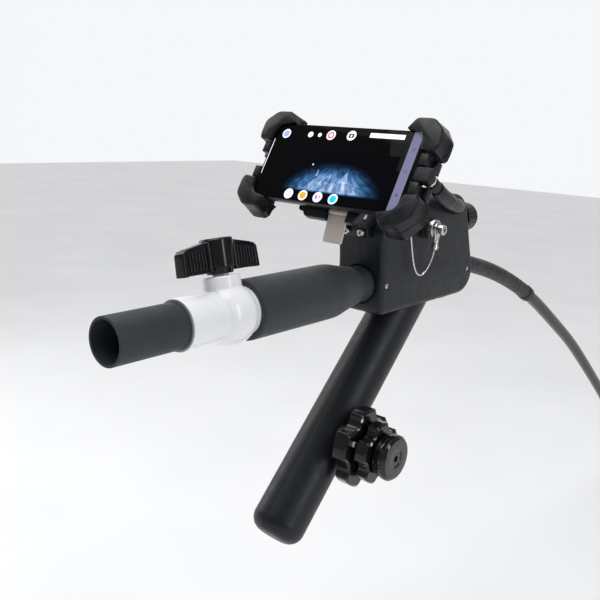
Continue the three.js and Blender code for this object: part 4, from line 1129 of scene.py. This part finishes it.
def holder():
    back = plate(rounded_rectangle(46, 28, 9), (9.2, 18.4), 1.5, FACE, 8, 4)
    ears = [plate([(9.8, -26, 1), (18, -26, 1), (19.5, -38, 3), (12.5, -38, 3)], span, 0.4, SIDE, 5, 2)
            for span in ((-1.5, 2.5), (22.5, 26.5))]
    wings = [plate(shape, (11, 17.5), 0.7, FACE, 4, 3)
             for shape in ([(-32, -26), (-19, -43, 2), (2.5, -43), (2.5, -26)],
                           [(22.5, -26), (22.5, -43), (30, -43, 2), (40, -26)])]
    pin = shifted(rod(1.6, -2, 27, "X"), 0, 16, -34.5)
    channel = box((-60, 60), (ARM_Y[0] - 0.4, ARM_Y[1] + 0.4), (-9.4, 9.4), 0.2, 0.2)
    body = cut(join(back, *ears, *wings, pin), channel)
    piece("holder_back", body, "display", "holder", ["holder_plate"])
    for k, x in enumerate((-26, 26)):
        pad = box((x - 12, x + 12), (8.7, 9.6), (-22, -14), 0.3, 2)
        piece(f"holder_pad_{k + 1}", pad, "display", "rubber")


def jaws_and_claws():
    for side, body_name, hand in ((-1, "jaw", "left"), (1, "display", "right")):
        arm = box((2, 81), ARM_Y, (-9, 9), 0.6, 1)
        slot_cut = box((14, 70), (ARM_Y[0] - 1, ARM_Y[1] + 1), (-3, 3), 0.3, 2.5)
        bar = box(BAR_X, BAR_Y, BAR_Z, 1.0, 1.2)
        web = [box((BAR_X[0] + 1.6, BAR_X[1] - 1.6), (BAR_Y[1] - 1.6, BAR_Y[1] + 1), (low, low + 9), 0.3, 0.8)
               for low in (-14.5, -4.5, 5.5)]
        rails = [box((PHONE_HALF[0] + 0.6, 83), (0.2, 12), span, 0.8, 0.8)
                 for span in ((7, 17.4), (-17.4, -7))]
        plug_room = box((77.5, 95), (6, 20), (-6.6, 6.6), 0, 0)
        jaw = cut(join(cut(arm, slot_cut), bar, *rails), *web, plug_room)
        piece(f"jaw_{hand}_frame", mirrored(jaw, side), body_name, "holder", [f"jaw_{hand}"])
        for up, place in ((1, "top"), (-1, "bottom")):
            node = f"claw_{place}_{hand}"
            piece(f"{node}_moulding", claw(side, up), body_name, "holder", [node], smooth=16)


def release_lever():
    outline = [(3.2, -25.5, 2), (21.8, -25.5, 2), (21.8, -2.6, 1), (3.2, -2.6, 1)]
    blade = plate(outline, (-3.4, -1.2), 0.5, FACE, 6, 3)
    lever = cut(join(blade, ring(3.6, 1.9, 2.8, 22.2, "X", 0.3, 48)), rod(1.9, 2, 23, "X", 0))
    piece("release_lever_blade", lever, "lever", "lever", ["release_lever"])


SCREW_X, SCREW_Z = 7.5, 48.5


def tilt_arm():
    pivot_y, pivot_z = 46, -22
    loops = []
    for y, half, low, high in ((18.7, 34, -36, 8), (20.4, 33.2, -35.8, 7.2), (24, 26, -34.6, 1.2),
                               (29, 16, -32.4, -6.6), (34, 8, -30, -14)):
        shape = softened([(-half, low, 4), (half, low, 4), (half, high, 4), (-half, high, 4)], steps=6)
        loops.append([(p.x, y, p.y) for p in shape])
    neck = lofted(loops)
    arm = box((-8, 8), (32, pivot_y), (pivot_z - 7, pivot_z + 7), 1.2, 0.6)
    knuckle = shifted(rod(9, -8, 8, "X", 0.6, 64), 0, pivot_y, pivot_z)
    pin_hole = shifted(rod(3.3, -20, 20, "X"), 0, pivot_y, pivot_z)
    lever_room = box((-3, 28), (18, 24), (-45, -27), 0.1, 0.1)
    arm_body = cut(join(neck, arm, knuckle), pin_hole, lever_room)
    piece("tilt_neck", arm_body, "display", "holder", ["tilt_arm"], smooth=30)


def bracket():
    y, z = TILT_AXIS.y, TILT_AXIS.z
    foot = plate([(-4.2, 44, 0.3), (-9.5, 44, 1), (-12, 50, 1), (-12, 60, 1), (-4, 71, 4), (10, 74, 4),
                  (20, 70, 2), (20, 66.1, 0.3), (-5.5, 52.3, 0.3)], (-13, 13), 0.8, SIDE, 5, 3)
    ear = [(y - 8, z - 4, 4), (y - 8, z + 5, 4), (y, z + 9, 4), (y + 14, z + 8, 1), (y + 10, z - 14, 1),
           (y + 3, z - 11, 2)]
    ears = [plate(ear, span, 0.7, SIDE, 6, 3) for span in ((-13, -8.4), (8.4, 13))]
    tools = [shifted(rod(9.6, -8.4, 8.4, "X", 0, 64), 0, y, z), shifted(rod(3.3, -20, 20, "X"), 0, y, z)]
    tools += [shifted(rod(2.2, -16, 2), x, 0, SCREW_Z) for x in (-SCREW_X, SCREW_X)]
    mount = cut(join(foot, *ears), *tools)
    piece("bracket_mount", mount, "main", "holder", ["bracket_foot"], smooth=30)


def bracket_fasteners():
    pin = turned([(0, -15.5), (4.6, -15.5, 0.4), (4.6, -13.3, 0.4), (3, -13.3), (3, 15, 0.5), (0, 15)], 64,
                 axis="X")
    slot_cut = box((-16, -14.9), (-0.5, 0.5), (-6, 6), 0.05, 0.05)
    pin = shifted(cut(pin, slot_cut), 0, TILT_AXIS.y, TILT_AXIS.z)
    piece("tilt_pivot_pin", pin, "main", "steel", ["tilt_pin"])
    for name, x in (("bracket_screw_left", -SCREW_X), ("bracket_screw_right", SCREW_X)):
        screw = turned([(0, -15), (2.6, -15, 0.4), (3.3, -14.2, 0.4), (3.3, -12.4, 0.2), (1.9, -12.4),
                        (1.9, -5.4), (0, -5.4)], 48)
        socket = plate(hexagon(1.6), (-16, -13.2), 0.03, FACE, 1, 1)
        piece(f"{name}_cap", shifted(cut(screw, socket), x, 0, SCREW_Z), "main", "steel", [name])


holder()
jaws_and_claws()
release_lever()
tilt_arm()
bracket()
bracket_fasteners()


# ---------------------------------------------------------------- cable, front cap and lanyard
PLUG_X = 85
CABLE_R = 5.8
CABLE_ENTRY = (25, 125, 65)            # where the cable enters the case's right side
CABLE_RISE = Vector((55, -105, 13))    # its direction out of the case
CABLE_BEND = [(83.4, -5, 84.5), (80, 12, 79.6), (74, 31, 76.7)]
CABLE_STRAIGHT = [(66, 46.7, 74.7), (56, 65.8, 72.3), (46, 84.9, 70), (38, 100.2, 68.1), (30, 115.5, 66.2)]


def cable():
    plug = plate([(PHONE_HALF[0] + 0.3, -6.2, 1.5), (90.6, -6.2, 1.8), (90.6, 6.2, 1.8),
                  (PHONE_HALF[0] + 0.3, 6.2, 1.5)], (0.6, 8.2), 1.3, FACE, 6, 4)
    boot = turned([(0, 6), (5.2, 6), (5.2, 13.2, 0.4), (4.7, 13.6), (4.7, 14.4), (5.3, 14.8, 0.3),
                   (5.0, 24, 0.6), (0, 24)], 64)
    piece("usb_plug_moulding", join(plug, shifted(boot, PLUG_X)), "display", "rubber", ["usb_plug"])
    band = ring(5.55, 5.0, 9.6, 11.4, edge=0.15)
    piece("usb_plug_band", shifted(band, PLUG_X), "display", "steel")
    from_display = TOOL.inverted() @ DISPLAY
    ends = [tuple(from_display @ Vector((PLUG_X, depth, 0))) for depth in (24.3, 30)]
    path = smooth_path([*ends, *CABLE_BEND, *CABLE_STRAIGHT, CABLE_ENTRY, (20, 134.5, 63.9)], 1.2)
    profile = [(0, -18), (7.6, -18), (7.6, 11, 0.4)]
    for k in range(4):
        along = 11 + 3.6 * k
        thick = 7.3 - 0.25 * k
        profile += [(thick - 0.7, along + 0.4, 0.2), (thick - 0.7, along + 1.2, 0.2),
                    (thick, along + 1.6, 0.2), (thick - 0.1, along + 3.2, 0.2)]
    relief = turned([*profile, (6.3, 26, 0.3), (0, 26)], 64)
    aim = Vector((0, 1, 0)).rotation_difference(CABLE_RISE.normalized()).to_matrix().to_4x4()
    moved(relief, Matrix.Translation(CABLE_ENTRY) @ aim)
    inside = box((-20, HOUSING_HALF + 0.3), (90, 170), (30, 100), 0, 0)
    cable_body = cut(join(along_path(path, CABLE_R, 40), relief), inside)
    item = piece("usb_cable_run", cable_body, None, "rubber", place=TOOL)
    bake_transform(item)
    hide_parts("usb_cable")


def front_cap():
    nut = turned([(0, 148), (8.5, 148), (8.5, 160), (14.2, 160, 0.4), (15, 160.8, 0.5), (15, 177, 0.8),
                  (13.5, 180, 0.8), (10.5, 180, 0.4), (10, 179.2, 0.4), (0, 179.2)], 128)
    grooves = [shifted(rod(0.75, 161.6, 176.6, edge=0.3, segments=12), x, 0, z) for x, z in around(24, 15.25)]
    nut = shifted(cut(nut, *grooves), FRONT_CAP[0], 0, FRONT_CAP[1])
    piece("front_cap_knurled", nut, "main", "gloss", ["front_cap"])


LANYARD_Y, LANYARD_Z = 66, 49
LANYARD_FACE = HOUSING_HALF + 0.3


def lanyard_bolt():
    y, z = LANYARD_Y, LANYARD_Z
    face = LANYARD_FACE
    washer = ring(9, 2.6, face + 6.6, face + 11.6, "X", 0.7)
    piece("lanyard_spacer", shifted(washer, 0, y, z), "main", "steel", ["lanyard_washer"])
    bush = turned([(2.6, face), (10, face, 0.3), (10, face + 2.4, 0.3), (9.3, face + 2.9, 0.2),
                   (9.3, face + 3.5, 0.2), (10, face + 4.0, 0.3), (10, face + 6.3, 0.6), (2.6, face + 6.3)],
                  96, axis="X")
    piece("lanyard_rubber_bush", shifted(bush, 0, y, z), "main", "rubber", ["lanyard_bush"])
    screw = turned([(0, face), (2.3, face), (2.3, face + 14.2), (4.8, face + 14.2, 0.2),
                    (4.8, face + 19.4, 0.3), (4.2, face + 20, 0.3), (0, face + 20)], 64, axis="X")
    screw = cut(screw, plate(hexagon(2.3), (face + 17.2, face + 22), 0.05, SIDE, 1, 1))
    piece("lanyard_cap_screw", shifted(screw, 0, y, z), "main", "steel", ["lanyard_screw"])


def lanyard_lug():
    face = LANYARD_FACE
    thick = (face + 11.9, face + 13.9)
    eye = rod(6.4, *thick, "X", 0.4, 64)
    tongue = plate([(-2.9, -13, 0.6), (2.9, -13, 0.6), (5.4, -1), (-5.4, -1)], thick, 0.4, SIDE)
    barrel = shifted(rod(2.7, -19, -10, "Z", 0.5, 48), face + 12.9)
    crimps = [shifted(ring(3.6, 2.3, -c - 0.7, -c + 0.7, "Z", 0.2, 48), face + 12.9) for c in (12.6, 16.2)]
    lug = cut(join(eye, tongue, barrel), *crimps)
    lug = cut(lug, rod(2.6, face + 10, face + 16, "X", 0))
    moved(lug, turn(-10, "X"))
    piece("lanyard_crimp_lug", shifted(lug, 0, LANYARD_Y, LANYARD_Z), "main", "steel", ["lanyard_lug"])


def lanyard_wire():
    route = [(LANYARD_FACE + 12.9, 62.4, 29.6),
             (37, 61.2, 22), (35, 58, 13), (33, 52.6, 7.4), (31.6, 46.6, 9),
             (30.4, 42.4, 16), (29.4, 39.4, 27), (28.6, 36.6, 40), (28.2, 33.6, 54), (27.6, 29.6, 67),
             (24.5, 25, 78), (19.5, 18, 79), (15, 11, 71.5)]

    def strands(distance, angle):
        return 0.82 + 0.12 * abs(math.cos(3 * angle + distance * 1.6))

    wire = along_path(smooth_path(route, 0.5), 0.9, 24, twist=strands)
    piece("lanyard_cable", wire, "main", "steel", ["lanyard_wire"])


cable()
front_cap()
lanyard_bolt()
lanyard_lug()
lanyard_wire()


# ---------------------------------------------------------------- nodes kept as they are
KEPT = {
    "ball": ["valve_ball", "valve_stem", "valve_seat_rear", "valve_seat_front"],
    "pvc": ["flow_reducer"],
    "board": ["circuit_board"],
    "battery": ["battery_pack"],
    "steel": ["shell_screw_rear", "shell_screw_grip", "pitch_wire", "yaw_wire"],
    "anodised": ["pitch_drum", "yaw_drum"],
}
for finish, nodes in KEPT.items():
    for node in nodes:
        kept = frame["nodes"][node]
        kept.data.materials.clear()
        kept.data.materials.append(FINISHES[finish][0])


# ---------------------------------------------------------------- stage and light

ROOM_DIM, ROOM_BRIGHT = 0.26, 0.95


FLOOR_HALF, FLOOR_DROP = 8.0, 0.12


def pale_floor():
    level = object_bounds()[0][2] - FLOOR_DROP
    corners = [(x * FLOOR_HALF, y * FLOOR_HALF, level) for x, y in ((-1, -1), (1, -1), (1, 1), (-1, 1))]
    floor = mesh_object("floor", corners, [(0, 1, 2, 3)])
    n = Nodes("pale_floor")
    tint = n.noise(3, 3)
    n.link(n.mixed(n.ranged(tint, 0.3, 0.7, 0, 1), (0.80, 0.80, 0.805), (0.84, 0.84, 0.845)),
           n.shader.inputs["Base Color"])
    floor.data.materials.append(n.finished(Roughness=0.9, Specular_IOR_Level=0.1))
    floor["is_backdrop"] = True


def room():
    """The far side of the room is bright and the near side dim, so that black parts keep their form."""
    world = bpy.data.worlds.new("studio")
    world.use_nodes = True
    tree = world.node_tree
    background = tree.nodes["Background"]
    direction = tree.nodes.new("ShaderNodeTexCoord").outputs["Generated"]
    facing = tree.nodes.new("ShaderNodeVectorMath")
    facing.operation = "DOT_PRODUCT"
    azimuth = math.radians(CAMERA_AZIMUTH)
    facing.inputs[1].default_value = (-math.sin(azimuth), math.cos(azimuth), 0)
    tree.links.new(direction, facing.inputs[0])
    ramp = tree.nodes.new("ShaderNodeMapRange")
    ramp.interpolation_type = "SMOOTHSTEP"
    for key, value in {"From Min": 0.35, "From Max": 0.95, "To Min": ROOM_DIM, "To Max": ROOM_BRIGHT}.items():
        ramp.inputs[key].default_value = value
    tree.links.new(facing.outputs["Value"], ramp.inputs["Value"])
    tree.links.new(ramp.outputs["Result"], background.inputs["Strength"])
    background.inputs["Color"].default_value = (0.965, 0.98, 1.0, 1)
    bpy.context.scene.world = world


def lamp(name, place, width, height, watts, colour=(1, 1, 1)):
    """A rectangle of light aimed at the tool's middle."""
    data = bpy.data.lights.new(name, "AREA")
    data.shape = "RECTANGLE"
    data.size, data.size_y = width, height
    data.energy = watts
    data.color = colour
    item = bpy.data.objects.new(name, data)
    aim = (Vector((0, 0, 0.05)) - Vector(place)).to_track_quat("-Z", "Y")
    item.matrix_world = Matrix.Translation(place) @ aim.to_matrix().to_4x4()
    bpy.context.scene.collection.objects.link(item)


def lights():
    lamp("top_softbox", (-0.35, 0.1, 1.7), 1.6, 1.6, 9, (0.96, 0.98, 1))
    lamp("left_strip", (-1.5, -0.2, 0.7), 0.25, 1.4, 7)
    lamp("right_strip", (1.5, -0.1, 0.6), 0.25, 1.4, 8)
    overhead = bpy.data.lights.new("overhead", "SUN")
    overhead.energy = 1.5
    overhead.angle = math.radians(50)
    sky = bpy.data.objects.new("overhead", overhead)
    sky.rotation_euler = (math.radians(12), math.radians(-10), 0)
    bpy.context.scene.collection.objects.link(sky)


pale_floor()
room()
lights()
bpy.context.scene.view_settings.view_transform = "Standard"
